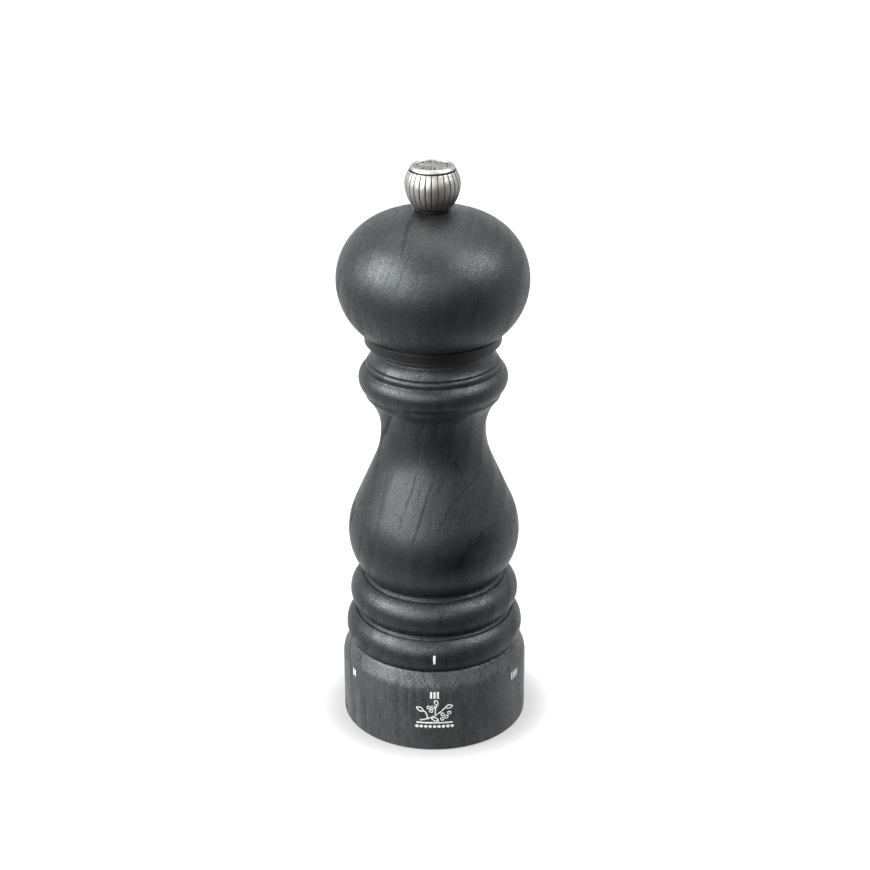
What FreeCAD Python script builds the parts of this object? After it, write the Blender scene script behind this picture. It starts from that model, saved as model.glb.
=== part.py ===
import FreeCAD, Part
import math
import os

import Sketcher

# A pepper mill of turned wood, 58 mm across and 180 mm high. Its base ring sets the grind.
# Origin: centre of the face it stands on. +Z up, +Y to the back. Millimetres throughout.

PARTS_FOLDER = "parts"
LEAST_CUT = 0.001

# Degrees about the mill's axis, anticlockwise from +X
HOUSING_SCREW_TURN = 30.0
SPIDER_ARM_TURN = 90.0
PLATE_SCREW_TURN = 45.0
SLEEVE_SCREW_TURN = 60.0
NOTCH_TURN = 30.0
CROWN_CLIP_TURN = 200.0
RETAINING_RING_TURN = 150.0

# Shares of a screw head's radius and height
SCREW_SLOT_HALF_WIDTH = 0.16
SCREW_SLOT_DEPTH = 0.45

DIMENSIONS = {
    # base ring
    "ring_r": 28.9, "ring_foot_round": 0.8, "ring_wall_top": 20.2, "ring_shoulder_arc": 6.0,
    "ring_shoulder_r": 28.14, "ring_shoulder_z": 23.12, "ring_top_r": 26.2, "ring_top_z": 26.6,
    "ring_bore_r": 24.9, "ring_web_r": 20.5, "ring_web_z": 22.6,
    # lower bead of the body and the groove above it
    "body_foot_r": 26.3, "body_foot_z": 27.0, "low_bead_r": 27.58, "low_bead_z": 31.1,
    "low_bead_arc_under": 7.2, "low_bead_arc_over": 6.83, "low_land_r": 24.8, "low_land_z": 36.6,
    "land_step": 0.4, "land_rise": 0.2, "low_groove_r": 23.7, "low_groove_z": 37.8,
    # upper bead and the groove above it
    "high_bead_r": 26.18, "high_bead_z": 42.9, "high_bead_arc_under": 6.48,
    "high_bead_arc_over": 6.19, "high_land_r": 22.4, "high_land_z": 48.6,
    "high_groove_r": 21.3, "high_groove_z": 50.0,
    # bulge, waist and neck
    "bulge_r": 26.44, "bulge_z": 63.3, "bulge_arc_under": 19.78, "bulge_arc_over": 24.0,
    "bulge_end_r": 24.43, "bulge_end_z": 72.91, "neck_start_r": 18.15, "neck_start_z": 87.28,
    "neck_arc_under": 26.0, "neck_r": 15.97, "neck_z": 97.7, "neck_arc_over": 16.6,
    # mouldings at the top of the body
    "fillet_r": 20.5, "fillet_z": 109.1, "fillet_top_r": 20.7, "fillet_top_z": 110.2,
    "main_bead_foot_r": 21.05, "main_bead_foot_z": 110.8, "main_bead_r": 22.56,
    "main_bead_z": 114.4, "main_bead_arc_under": 5.05, "main_bead_arc_over": 4.4,
    "main_bead_end_r": 20.95, "main_bead_end_z": 117.8, "edge_r": 20.85, "edge_z": 118.2,
    "groove_r": 19.7, "groove_z": 118.5, "ridge_r": 19.8, "ridge_z": 119.2,
    "ridge_top_r": 19.55, "ridge_top_z": 119.9, "quirk_r": 19.2, "quirk_z": 120.5,
    "scotia_arc": 5.5, "scotia_r": 18.35, "scotia_z": 123.6, "cove_arc": 1.4,
    "body_top_r": 18.9, "body_top_z": 125.3,
    # hollows of the body
    "reservoir_r": 12.3, "funnel_z": 56.0, "funnel_r": 15.7, "housing_seat_z": 50.0,
    "housing_seat_r": 17.6, "flange_seat_r": 23.7, "flange_seat_z": 29.6,
    "collar_seat_r": 14.3, "collar_seat_z": 119.3,
    # swivel collar
    "collar_r": 20.6, "collar_top_z": 129.7, "collar_round": 0.8, "collar_edge": 0.3,
    "collar_bore_r": 12.2, "collar_spigot_r": 14.2,
    # head
    "head_foot_z": 130.0, "head_foot_r": 21.75, "head_r": 28.74, "head_mid_z": 145.3,
    "head_arc_under": 20.2, "head_arc_over": 19.5, "crest_r": 17.05, "crest_z": 163.17,
    "crest_arc": 42.6, "knob_seat_r": 5.2, "knob_seat_top_z": 166.38, "knob_seat_z": 165.6,
    "stub_r": 11.9, "stub_foot_z": 117.8, "head_bore_r": 4.7, "head_bore_top_z": 158.0,
    "spigot_hole_r": 2.9,
    # drive plate under the head
    "plate_r": 10.8, "plate_thick": 1.5, "plate_hole_side": 6.3, "plate_screw_ring_r": 8.0,
    "plate_hole_r": 1.3, "plate_pilot_r": 1.25, "plate_pilot_depth": 8.5,
    "plate_screw_head_r": 2.2, "plate_screw_head": 1.2, "plate_screw_r": 1.2,
    "plate_screw_grip": 8.0,
    # shaft
    "shaft_side": 6.0, "shaft_corner_r": 4.1, "shaft_foot_z": 9.6, "shaft_top_z": 157.5,
    "spigot_r": 2.5, "spigot_top_z": 175.5, "spigot_chamfer": 0.6, "shaft_thread_r": 2.05,
    "shaft_thread_depth": 11.0, "clip_groove_r": 3.3, "clip_groove_z": 51.7,
    "clip_groove_height": 1.0, "flat_cut_width": 10.0, "flat_cut_depth": 3.0,
    # inner burr
    "burr_foot_z": 6.5, "burr_foot_r": 11.45, "burr_break_r": 9.9, "burr_break_z": 11.0,
    "burr_top_r": 6.3, "burr_top_z": 23.5, "burr_recess_r": 7.0, "burr_hole_side": 6.1,
    "coarse_groove_depth": 1.6, "coarse_groove_half": 1.5, "coarse_turn": 46.0,
    "coarse_count": 7, "fine_groove_depth": 0.7, "fine_groove_half": 0.75, "fine_turn": 11.0,
    "fine_count": 28,
    # outer burr
    "crown_gap": 0.55, "crown_r": 14.4, "crown_top_z": 23.0, "crown_lip_r": 14.0,
    "crown_throat_r": 11.2, "crown_throat_z": 18.5, "crown_tooth_root_r": 12.9,
    "crown_tooth_half": 0.8, "crown_tooth_count": 28,
    # carrier of the outer burr
    "carrier_foot_z": 4.9, "carrier_top_z": 24.0, "carrier_r": 15.55, "carrier_bore_r": 14.45,
    "carrier_lip_r": 14.05, "carrier_lip_z": 23.05, "carrier_groove_r": 14.95,
    "carrier_groove_z": 5.45, "carrier_groove_height": 1.0, "lug_reach": 18.1,
    "lug_width": 6.0, "lug_foot_z": 9.5, "lug_height": 9.0, "lug_root": 15.0,
    # housing in the foot of the body
    "tube_foot_z": 6.6, "tube_r": 17.3, "tube_bore_r": 15.75, "ring_groove_r": 16.6,
    "ring_groove_z": 7.4, "ring_groove_height": 1.2, "flange_r": 23.5, "flange_z": 27.1,
    "flange_thick": 2.4, "housing_fit": 0.1, "slot_width": 6.6, "slot_top_z": 21.0,
    "slot_depth": 3.0, "hub_r": 7.6, "hub_bore_r": 5.6, "spider_z": 42.0, "arm_width": 3.4,
    "arm_reach": 16.2, "housing_screw_ring_r": 20.8, "housing_screw_hole_r": 1.6,
    "housing_screw_sink_r": 2.8, "housing_screw_sink": 1.3, "housing_pilot_depth": 7.2,
    "housing_screw_head_r": 2.6, "housing_screw_r": 1.5, "housing_screw_grip": 7.0,
    "screw_head_sunk": 0.1, "detent_pocket_length": 16.0,
    "detent_pocket_inner": 17.6, "detent_pocket_width": 3.0, "detent_pocket_depth": 1.2,
    # bush, washers and clip on the shaft
    "bush_bore_r": 4.18, "bush_r": 5.55, "bush_flange_r": 6.8, "bush_flange_thick": 0.8,
    "washer_bore_r": 4.25, "thrust_washer_r": 6.6, "thrust_washer_z": 50.8,
    "thrust_washer_thick": 0.85, "clip_r": 6.4, "clip_bore_r": 3.35, "clip_thick": 0.9,
    "clip_mouth": 4.4, "seat_r": 7.0, "seat_thick": 1.0, "seat_gap": 0.1,
    # pressure spring
    "spring_wire_r": 0.6, "spring_mean_r": 5.4, "spring_turns": 5,
    # washer and screw under the inner burr
    "burr_washer_r": 6.5, "burr_washer_bore_r": 2.1, "burr_washer_thick": 1.0,
    "burr_screw_head_r": 4.4, "burr_screw_head": 2.0, "burr_screw_r": 2.0,
    "burr_screw_length": 10.0, "burr_screw_socket": 3.0, "burr_screw_socket_depth": 1.2,
    # adjuster sleeve in the base ring
    "sleeve_foot_z": 8.7, "sleeve_r": 20.6, "sleeve_thread_r": 18.6, "sleeve_thread_top": 20.2,
    "sleeve_flange_z": 19.6, "sleeve_flange_r": 24.7, "sleeve_neck_r": 20.2,
    "sleeve_top_z": 26.3, "sleeve_bore_r": 17.6, "notch_depth": 0.8, "notch_half": 1.1,
    "notch_length": 5.0, "notch_count": 6, "sleeve_screw_ring_r": 22.75,
    "sleeve_screw_hole_r": 1.15, "sleeve_pilot_depth": 3.6, "sleeve_screw_head_r": 1.95,
    "sleeve_screw_head": 1.4, "sleeve_screw_r": 1.1, "sleeve_screw_grip": 3.4,
    # spring rings
    "retaining_ring_bore_r": 16.65, "retaining_ring_r": 20.2, "retaining_ring_z": 7.5,
    "retaining_ring_thick": 1.0, "retaining_ring_mouth": 5.0, "crown_clip_r": 14.9,
    "crown_clip_bore_r": 13.6, "crown_clip_z": 5.5, "crown_clip_thick": 0.9,
    "crown_clip_mouth": 4.0,
    # detent leaf
    "leaf_half": 7.5, "leaf_thick": 0.35, "leaf_width": 2.4, "leaf_inner": 17.9,
    "leaf_end_z": 27.85, "leaf_bump_half": 1.1, "leaf_bump_z": 26.6, "leaf_tip_z": 25.75,
    # bottom cover
    "cover_bore_r": 16.2, "cover_r": 24.85, "cover_z": 3.2, "cover_thick": 2.2,
    "cover_skirt_r": 23.2, "cover_skirt_top": 12.0, "cover_bevel": 0.8,
    # how far a cut runs past the surface it starts from
    "overcut": 1.0,
    # knob, its cap and its washer
    "knob_foot_z": 166.5, "knob_foot_r": 4.5, "knob_foot_rise": 0.5, "knob_low_r": 6.8,
    "knob_low_z": 169.0, "knob_low_arc": 4.0, "knob_r": 8.22, "knob_mid_z": 174.4,
    "knob_arc_under": 11.0, "knob_arc_over": 6.65, "knob_high_r": 7.4, "knob_high_z": 177.6,
    "knob_rim_r": 6.95, "knob_rim_z": 178.1, "knob_bore_r": 2.6, "knob_bore_top_z": 176.3,
    "cap_seat_r": 6.55, "cap_seat_z": 177.2, "flute_depth": 0.45, "flute_width": 0.5,
    "flute_count": 27, "cap_r": 6.5, "cap_neck_r": 6.1, "cap_neck_low": 178.3,
    "cap_neck_high": 178.7, "cap_top_z": 180.0, "cap_round": 0.4, "cap_rim_r": 5.5,
    "cap_dish_z": 179.4, "knob_washer_r": 4.9, "knob_washer_bore_r": 2.95,
    "knob_washer_thick": 0.8,
}


# ---------------------------------------------------------------- sizes and expressions

class Size:
    """A length from the sheet, or one worked out from such lengths, with its expression."""

    def __init__(self, value, text):
        self.value = float(value)
        self.text = text

    def __add__(self, other):
        other = as_size(other)
        return Size(self.value + other.value, f"({self.text} + {other.text})")

    def __sub__(self, other):
        other = as_size(other)
        return Size(self.value - other.value, f"({self.text} - {other.text})")

    def __mul__(self, other):
        other = as_size(other)
        return Size(self.value * other.value, f"({self.text} * {other.text})")

    def __truediv__(self, other):
        other = as_size(other)
        return Size(self.value / other.value, f"({self.text} / {other.text})")

    def __neg__(self):
        return Size(-self.value, f"(0 - {self.text})")


def as_size(number):
    """A Size as it is, and a plain number as a Size."""
    if isinstance(number, Size):
        return number
    return Size(number, str(float(number)))


class Dimensions:
    """The spreadsheet's cells, each read by its alias as a Size."""

    def __init__(self, sheet, numbers):
        for row, (alias, number) in enumerate(numbers.items(), 1):
            sheet.set(f"A{row}", alias)
            sheet.set(f"B{row}", str(number))
            sheet.setAlias(f"B{row}", alias)
            setattr(self, alias, Size(number, f"{sheet.Name}.{alias}"))


def bind(item, path, number):
    """Drives one property of a document object from the sheet."""
    number = as_size(number)
    item.setExpression(path, number.text)


document = FreeCAD.newDocument("pepper_mill")
sheet = document.addObject("Spreadsheet::Sheet", "dims")
dim = Dimensions(sheet, DIMENSIONS)
document.recompute()


# ---------------------------------------------------------------- bodies and sketches

bodies = []


def new_body(label, turn_degrees=0.0):
    """A new body for one piece, turned about the mill's axis where the piece needs it."""
    body = document.addObject("PartDesign::Body", label)
    body.Label = label
    body.Placement = FreeCAD.Placement(
        FreeCAD.Vector(0, 0, 0), FreeCAD.Rotation(FreeCAD.Vector(0, 0, 1), turn_degrees)
    )
    bodies.append(body)
    return body


def origin_feature(body, role):
    """One of the body's own origin planes or axes."""
    return next(item for item in body.Origin.OriginFeatures if item.Role == role)


def new_sketch(body, plane, level=0.0, turn=None):
    """An empty sketch on a plane of the body's origin, moved along its normal by level."""
    sketch = body.newObject("Sketcher::SketchObject", body.Name + "_sketch")
    sketch.AttachmentSupport = [(origin_feature(body, plane), "")]
    sketch.MapMode = "FlatFace"
    level = as_size(level)
    angle = as_size(turn) if turn is not None else as_size(0)
    sketch.AttachmentOffset = FreeCAD.Placement(
        FreeCAD.Vector(0, 0, level.value),
        FreeCAD.Rotation(FreeCAD.Vector(0, 0, 1), angle.value),
    )
    bind(sketch, "AttachmentOffset.Base.z", level)
    if turn is not None:
        bind(sketch, "AttachmentOffset.Rotation.Angle", angle)
    return sketch


def hold(sketch, kind, edge, end, number):
    """Ties one end of an edge to the sheet, along X or along Y."""
    number = as_size(number)
    if abs(number.value) < 1e-9:
        axis = -2 if kind == "DistanceX" else -1
        sketch.addConstraint(Sketcher.Constraint("PointOnObject", edge, end, axis))
        return
    index = sketch.addConstraint(
        Sketcher.Constraint(kind, -1, 1, edge, end, number.value)
    )
    sketch.setExpression(f"Constraints[{index}]", number.text)


def line(x, y):
    """A straight run of an outline to (x, y)."""
    return (x, y, None, 0)


def bulge(x, y, radius):
    """A round run to (x, y) that bulges out of an outline drawn anticlockwise."""
    return (x, y, radius, 1)


def hollow(x, y, radius):
    """A round run to (x, y) that curves into an outline drawn anticlockwise."""
    return (x, y, radius, -1)


def arc_between(start, end, radius, side):
    """The shorter arc from start to end, and whether its own direction is the same."""
    chord = end - start
    middle = (start + end) * 0.5
    left = FreeCAD.Vector(-chord.y, chord.x, 0).normalize()
    rise = math.sqrt(radius ** 2 - (chord.Length / 2) ** 2)
    centre = middle + left * rise * side
    first, last = (start, end) if side > 0 else (end, start)
    low = math.atan2(first.y - centre.y, first.x - centre.x)
    high = math.atan2(last.y - centre.y, last.x - centre.x)
    if high < low:
        high += 2 * math.pi
    circle = Part.Circle(centre, FreeCAD.Vector(0, 0, 1), radius)
    return Part.ArcOfCircle(circle, low, high), side > 0


def draw_outline(sketch, start, runs):
    """Draws a closed outline from start, with every corner and every radius held by the sheet."""
    corner = FreeCAD.Vector(as_size(start[0]).value, as_size(start[1]).value, 0)
    first_corner = corner
    first_end = None
    previous_end = None
    for index, (x, y, radius, side) in enumerate(runs + [line(*start)]):
        closing = index == len(runs)
        target = FreeCAD.Vector(as_size(x).value, as_size(y).value, 0)
        if closing:
            target = first_corner
        if radius is None:
            edge = sketch.addGeometry(Part.LineSegment(corner, target), False)
            near, far = 1, 2
        else:
            radius = as_size(radius)
            arc, forwards = arc_between(corner, target, radius.value, side)
            edge = sketch.addGeometry(arc, False)
            near, far = (1, 2) if forwards else (2, 1)
        if previous_end is None:
            first_end = (edge, near)
            hold(sketch, "DistanceX", edge, near, start[0])
            hold(sketch, "DistanceY", edge, near, start[1])
        else:
            sketch.addConstraint(Sketcher.Constraint("Coincident", *previous_end, edge, near))
        if closing:
            sketch.addConstraint(Sketcher.Constraint("Coincident", edge, far, *first_end))
        else:
            hold(sketch, "DistanceX", edge, far, x)
            hold(sketch, "DistanceY", edge, far, y)
        if radius is not None:
            held = sketch.addConstraint(Sketcher.Constraint("Radius", edge, radius.value))
            sketch.setExpression(f"Constraints[{held}]", radius.text)
        previous_end = (edge, far)
        corner = target


def circle_sketch(body, plane, level, x, y, radius):
    """A sketch that holds one circle."""
    sketch = new_sketch(body, plane, level)
    x = as_size(x)
    y = as_size(y)
    radius = as_size(radius)
    centre = FreeCAD.Vector(x.value, y.value, 0)
    edge = sketch.addGeometry(
        Part.Circle(centre, FreeCAD.Vector(0, 0, 1), radius.value), False
    )
    hold(sketch, "DistanceX", edge, 3, x)
    hold(sketch, "DistanceY", edge, 3, y)
    held = sketch.addConstraint(Sketcher.Constraint("Radius", edge, radius.value))
    sketch.setExpression(f"Constraints[{held}]", radius.text)
    return sketch


def outline_sketch(body, plane, level, start, runs, turn=None):
    """A sketch that holds one closed outline."""
    sketch = new_sketch(body, plane, level, turn)
    draw_outline(sketch, start, runs)
    return sketch


def box_sketch(body, plane, level, low, high):
    """A sketch that holds one rectangle between two corners."""
    runs = [line(high[0], low[1]), line(high[0], high[1]), line(low[0], high[1])]
    return outline_sketch(body, plane, level, low, runs)


def polygon_sketch(body, level, across_flats, sides):
    """A sketch on the ground plane that holds a regular polygon round the axis."""
    corner_r = as_size(across_flats) / (2 * math.cos(math.pi / sides))
    corners = []
    for index in range(sides):
        angle = math.pi * (2 * index + 1) / sides
        corners.append((corner_r * math.cos(angle), corner_r * math.sin(angle)))
    runs = [line(*corner) for corner in corners[1:]]
    return outline_sketch(body, "XY_Plane", level, corners[0], runs)


# ---------------------------------------------------------------- features

def revolve(body, sketch):
    """Turns a sketch in the XZ plane about the mill's axis."""
    feature = body.newObject("PartDesign::Revolution", body.Name + "_turning")
    feature.Profile = sketch
    feature.ReferenceAxis = (sketch, ["V_Axis"])
    feature.Angle = 360
    document.recompute()
    return feature


def pad(body, sketch, height):
    """Raises a sketch along its normal."""
    feature = body.newObject("PartDesign::Pad", body.Name + "_pad")
    feature.Profile = sketch
    bind(feature, "Length", height)
    document.recompute()
    return feature


def checked_cut(body, feature, volume_before):
    """Stops the build where a cut has missed the solid."""
    document.recompute()
    if body.Shape.Volume > volume_before - LEAST_CUT:
        raise RuntimeError(f"{feature.Name} of {body.Label} cuts nothing")
    return feature


def pocket(body, sketch, depth, along_normal=True):
    """Cuts a sketch's area out of the body, along the sketch's normal or against it."""
    before = body.Shape.Volume
    feature = body.newObject("PartDesign::Pocket", body.Name + "_pocket")
    feature.Profile = sketch
    feature.Reversed = along_normal
    bind(feature, "Length", depth)
    return checked_cut(body, feature, before)


def loft_cut(body, sketches):
    """Cuts the space between sketches, one above the other."""
    before = body.Shape.Volume
    feature = body.newObject("PartDesign::SubtractiveLoft", body.Name + "_loft")
    feature.Profile = sketches[0]
    feature.Sections = sketches[1:]
    return checked_cut(body, feature, before)


def repeat_round(body, features, count):
    """Repeats features round the mill's axis."""
    pattern = body.newObject("PartDesign::PolarPattern", body.Name + "_pattern")
    pattern.Originals = features
    pattern.Axis = (origin_feature(body, "Z_Axis"), [""])
    pattern.Angle = 360
    pattern.Occurrences = round(as_size(count).value)
    if isinstance(count, Size):
        bind(pattern, "Occurrences", count)
    body.Tip = pattern
    document.recompute()
    return pattern


def turned_piece(label, start, runs, turn_degrees=0.0):
    """A turned piece, from the outline of one side of its section."""
    body = new_body(label, turn_degrees)
    revolve(body, outline_sketch(body, "XZ_Plane", 0, start, runs))
    return body


def ring_piece(label, bore_r, outer_r, low_z, thick, turn_degrees=0.0):
    """A plain turned ring or washer."""
    high_z = low_z + thick
    runs = [line(outer_r, low_z), line(outer_r, high_z), line(bore_r, high_z)]
    return turned_piece(label, (bore_r, low_z), runs, turn_degrees)


def open_ring(label, bore_r, outer_r, low_z, thick, mouth, turn_degrees):
    """A spring ring: a flat ring with a mouth cut through it."""
    body = ring_piece(label, bore_r, outer_r, low_z, thick, turn_degrees)
    half = mouth / 2
    cut = box_sketch(body, "XY_Plane", low_z, (0, -half), (outer_r + dim.overcut, half))
    pocket(body, cut, thick)
    return body


def square_hole(body, level, side, depth):
    """A square hole on the axis for the drive shaft."""
    pocket(body, polygon_sketch(body, level, side, 4), depth)


def screw_holes(body, ring_r, hole_r, level, depth, count=3):
    """Round holes on a circle, cut upwards from a level."""
    hole = pocket(body, circle_sketch(body, "XY_Plane", level, ring_r, 0, hole_r), depth)
    repeat_round(body, [hole], count)


def screw_set(label, ring_r, head, shank, turn_degrees, count=3):
    """Screws on a circle, driven from below: head and shank are (radius, low z, high z)."""
    body = new_body(label, turn_degrees)
    body.AllowCompound = True
    head_r, head_low, head_high = head
    shank_r, shank_low, shank_high = shank
    head_pad = pad(
        body, circle_sketch(body, "XY_Plane", head_low, ring_r, 0, head_r), head_high - head_low
    )
    shank_pad = pad(
        body,
        circle_sketch(body, "XY_Plane", shank_low, ring_r, 0, shank_r),
        shank_high - shank_low,
    )
    half_slot = head_r * SCREW_SLOT_HALF_WIDTH
    slot = pocket(
        body,
        box_sketch(
            body,
            "XY_Plane",
            head_low,
            (ring_r - head_r, -half_slot),
            (ring_r + head_r, half_slot),
        ),
        (head_high - head_low) * SCREW_SLOT_DEPTH,
    )
    repeat_round(body, [head_pad, shank_pad, slot], count)
    return body


# ---------------------------------------------------------------- wooden pieces and collar

def make_body_wood():
    """The turned body: two beads, bulge, neck and mouldings, bored through for the peppercorns."""
    runs = [
        line(dim.body_foot_r, dim.body_foot_z),
        bulge(dim.low_bead_r, dim.low_bead_z, dim.low_bead_arc_under),
        bulge(dim.low_land_r, dim.low_land_z, dim.low_bead_arc_over),
        line(dim.low_land_r - dim.land_step, dim.low_land_z + dim.land_rise),
        line(dim.low_groove_r, dim.low_groove_z),
        bulge(dim.high_bead_r, dim.high_bead_z, dim.high_bead_arc_under),
        bulge(dim.high_land_r, dim.high_land_z, dim.high_bead_arc_over),
        line(dim.high_land_r - dim.land_step, dim.high_land_z + dim.land_rise),
        line(dim.high_groove_r, dim.high_groove_z),
        bulge(dim.bulge_r, dim.bulge_z, dim.bulge_arc_under),
        bulge(dim.bulge_end_r, dim.bulge_end_z, dim.bulge_arc_over),
        line(dim.neck_start_r, dim.neck_start_z),
        hollow(dim.neck_r, dim.neck_z, dim.neck_arc_under),
        hollow(dim.fillet_r, dim.fillet_z, dim.neck_arc_over),
        line(dim.fillet_top_r, dim.fillet_top_z),
        line(dim.main_bead_foot_r, dim.main_bead_foot_z),
        bulge(dim.main_bead_r, dim.main_bead_z, dim.main_bead_arc_under),
        bulge(dim.main_bead_end_r, dim.main_bead_end_z, dim.main_bead_arc_over),
        line(dim.edge_r, dim.edge_z),
        line(dim.groove_r, dim.groove_z),
        line(dim.ridge_r, dim.ridge_z),
        line(dim.ridge_top_r, dim.ridge_top_z),
        line(dim.quirk_r, dim.quirk_z),
        hollow(dim.scotia_r, dim.scotia_z, dim.scotia_arc),
        hollow(dim.body_top_r, dim.body_top_z, dim.cove_arc),
        line(dim.collar_seat_r, dim.body_top_z),
        line(dim.collar_seat_r, dim.collar_seat_z),
        line(dim.reservoir_r, dim.collar_seat_z),
        line(dim.reservoir_r, dim.funnel_z),
        line(dim.funnel_r, dim.housing_seat_z),
        line(dim.housing_seat_r, dim.housing_seat_z),
        line(dim.housing_seat_r, dim.flange_seat_z),
        line(dim.flange_seat_r, dim.flange_seat_z),
    ]
    body = turned_piece(
        "body_wood", (dim.flange_seat_r, dim.body_foot_z), runs, HOUSING_SCREW_TURN
    )
    screw_holes(
        body,
        dim.housing_screw_ring_r,
        dim.housing_screw_hole_r,
        dim.flange_seat_z,
        dim.housing_pilot_depth,
    )


def make_swivel_collar():
    """The smooth ring on top of the body, with a spigot in the wood. The head turns in it."""
    runs = [
        line(dim.collar_spigot_r, dim.collar_seat_z),
        line(dim.collar_spigot_r, dim.body_top_z),
        line(dim.collar_r - dim.collar_round, dim.body_top_z),
        bulge(dim.collar_r, dim.body_top_z + dim.collar_round, dim.collar_round),
        line(dim.collar_r, dim.collar_top_z - dim.collar_edge),
        bulge(dim.collar_r - dim.collar_edge, dim.collar_top_z, dim.collar_edge),
        line(dim.collar_bore_r, dim.collar_top_z),
    ]
    turned_piece("swivel_collar", (dim.collar_bore_r, dim.collar_seat_z), runs)


def make_head_wood():
    """The head, with a stub that turns in the collar and a bore for the shaft."""
    runs = [
        line(dim.stub_r, dim.stub_foot_z),
        line(dim.stub_r, dim.head_foot_z),
        line(dim.head_foot_r, dim.head_foot_z),
        bulge(dim.head_r, dim.head_mid_z, dim.head_arc_under),
        bulge(dim.crest_r, dim.crest_z, dim.head_arc_over),
        bulge(dim.knob_seat_r, dim.knob_seat_top_z, dim.crest_arc),
        line(dim.knob_seat_r, dim.knob_seat_z),
        line(dim.spigot_hole_r, dim.knob_seat_z),
        line(dim.spigot_hole_r, dim.head_bore_top_z),
        line(dim.head_bore_r, dim.head_bore_top_z),
    ]
    body = turned_piece(
        "head_wood", (dim.head_bore_r, dim.stub_foot_z), runs, PLATE_SCREW_TURN
    )
    screw_holes(
        body, dim.plate_screw_ring_r, dim.plate_pilot_r, dim.stub_foot_z, dim.plate_pilot_depth
    )


def make_base_ring_wood():
    """The ring at the foot, with an inner web that its sleeve is screwed to."""
    runs = [
        line(dim.ring_r - dim.ring_foot_round, 0),
        bulge(dim.ring_r, dim.ring_foot_round, dim.ring_foot_round),
        line(dim.ring_r, dim.ring_wall_top),
        bulge(dim.ring_shoulder_r, dim.ring_shoulder_z, dim.ring_shoulder_arc),
        line(dim.ring_top_r, dim.ring_top_z),
        line(dim.ring_web_r, dim.ring_top_z),
        line(dim.ring_web_r, dim.ring_web_z),
        line(dim.ring_bore_r, dim.ring_web_z),
    ]
    body = turned_piece("base_ring_wood", (dim.ring_bore_r, 0), runs, SLEEVE_SCREW_TURN)
    screw_holes(
        body,
        dim.sleeve_screw_ring_r,
        dim.sleeve_screw_hole_r,
        dim.ring_web_z,
        dim.sleeve_pilot_depth,
    )


# ---------------------------------------------------------------- drive line

def make_drive_shaft():
    """A bar with four flats, a clip groove, a tapped foot and a threaded spigot at the top."""
    groove_top = dim.clip_groove_z + dim.clip_groove_height
    runs = [
        line(dim.shaft_corner_r, dim.shaft_foot_z),
        line(dim.shaft_corner_r, dim.clip_groove_z),
        line(dim.clip_groove_r, dim.clip_groove_z),
        line(dim.clip_groove_r, groove_top),
        line(dim.shaft_corner_r, groove_top),
        line(dim.shaft_corner_r, dim.shaft_top_z),
        line(dim.spigot_r, dim.shaft_top_z),
        line(dim.spigot_r, dim.spigot_top_z - dim.spigot_chamfer),
        line(dim.spigot_r - dim.spigot_chamfer, dim.spigot_top_z),
        line(0, dim.spigot_top_z),
        line(0, dim.shaft_foot_z + dim.shaft_thread_depth),
        line(dim.shaft_thread_r, dim.shaft_foot_z + dim.shaft_thread_depth),
    ]
    body = turned_piece("drive_shaft", (dim.shaft_thread_r, dim.shaft_foot_z), runs)
    half = dim.shaft_side / 2
    half_width = dim.flat_cut_width / 2
    flat = box_sketch(
        body,
        "XY_Plane",
        dim.shaft_foot_z,
        (half, -half_width),
        (half + dim.flat_cut_depth, half_width),
    )
    cut = pocket(body, flat, dim.shaft_top_z - dim.shaft_foot_z)
    repeat_round(body, [cut], 4)


def tooth_section(body, level, surface_r, depth, half_width, turn):
    """A triangle that a burr's groove passes through, with its point inside the surface."""
    outer_r = surface_r + dim.overcut
    runs = [line(outer_r, -half_width), line(outer_r, half_width)]
    return outline_sketch(body, "XY_Plane", level, (surface_r - depth, 0), runs, turn)


def make_grinding_nut():
    """The inner burr: a cone with coarse helical grooves above and fine ones below."""
    recess_top = dim.shaft_foot_z
    runs = [
        line(dim.burr_recess_r, recess_top),
        line(dim.burr_recess_r, dim.burr_foot_z),
        line(dim.burr_foot_r, dim.burr_foot_z),
        line(dim.burr_break_r, dim.burr_break_z),
        line(dim.burr_top_r, dim.burr_top_z),
        line(0, dim.burr_top_z),
    ]
    body = turned_piece("grinding_nut", (0, recess_top), runs)
    coarse = loft_cut(
        body,
        [
            tooth_section(
                body,
                dim.burr_break_z,
                dim.burr_break_r,
                dim.coarse_groove_depth / 4,
                dim.coarse_groove_half,
                0,
            ),
            tooth_section(
                body,
                dim.burr_top_z,
                dim.burr_top_r,
                dim.coarse_groove_depth / 2,
                dim.coarse_groove_half,
                dim.coarse_turn,
            ),
        ],
    )
    repeat_round(body, [coarse], dim.coarse_count)
    fine = loft_cut(
        body,
        [
            tooth_section(
                body,
                dim.burr_foot_z,
                dim.burr_foot_r,
                dim.fine_groove_depth,
                dim.fine_groove_half,
                0,
            ),
            tooth_section(
                body,
                dim.burr_break_z,
                dim.burr_break_r,
                dim.fine_groove_depth / 2,
                dim.fine_groove_half,
                dim.fine_turn,
            ),
        ],
    )
    repeat_round(body, [fine], dim.fine_count)
    square_hole(body, recess_top, dim.burr_hole_side, dim.burr_top_z - recess_top)


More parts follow.
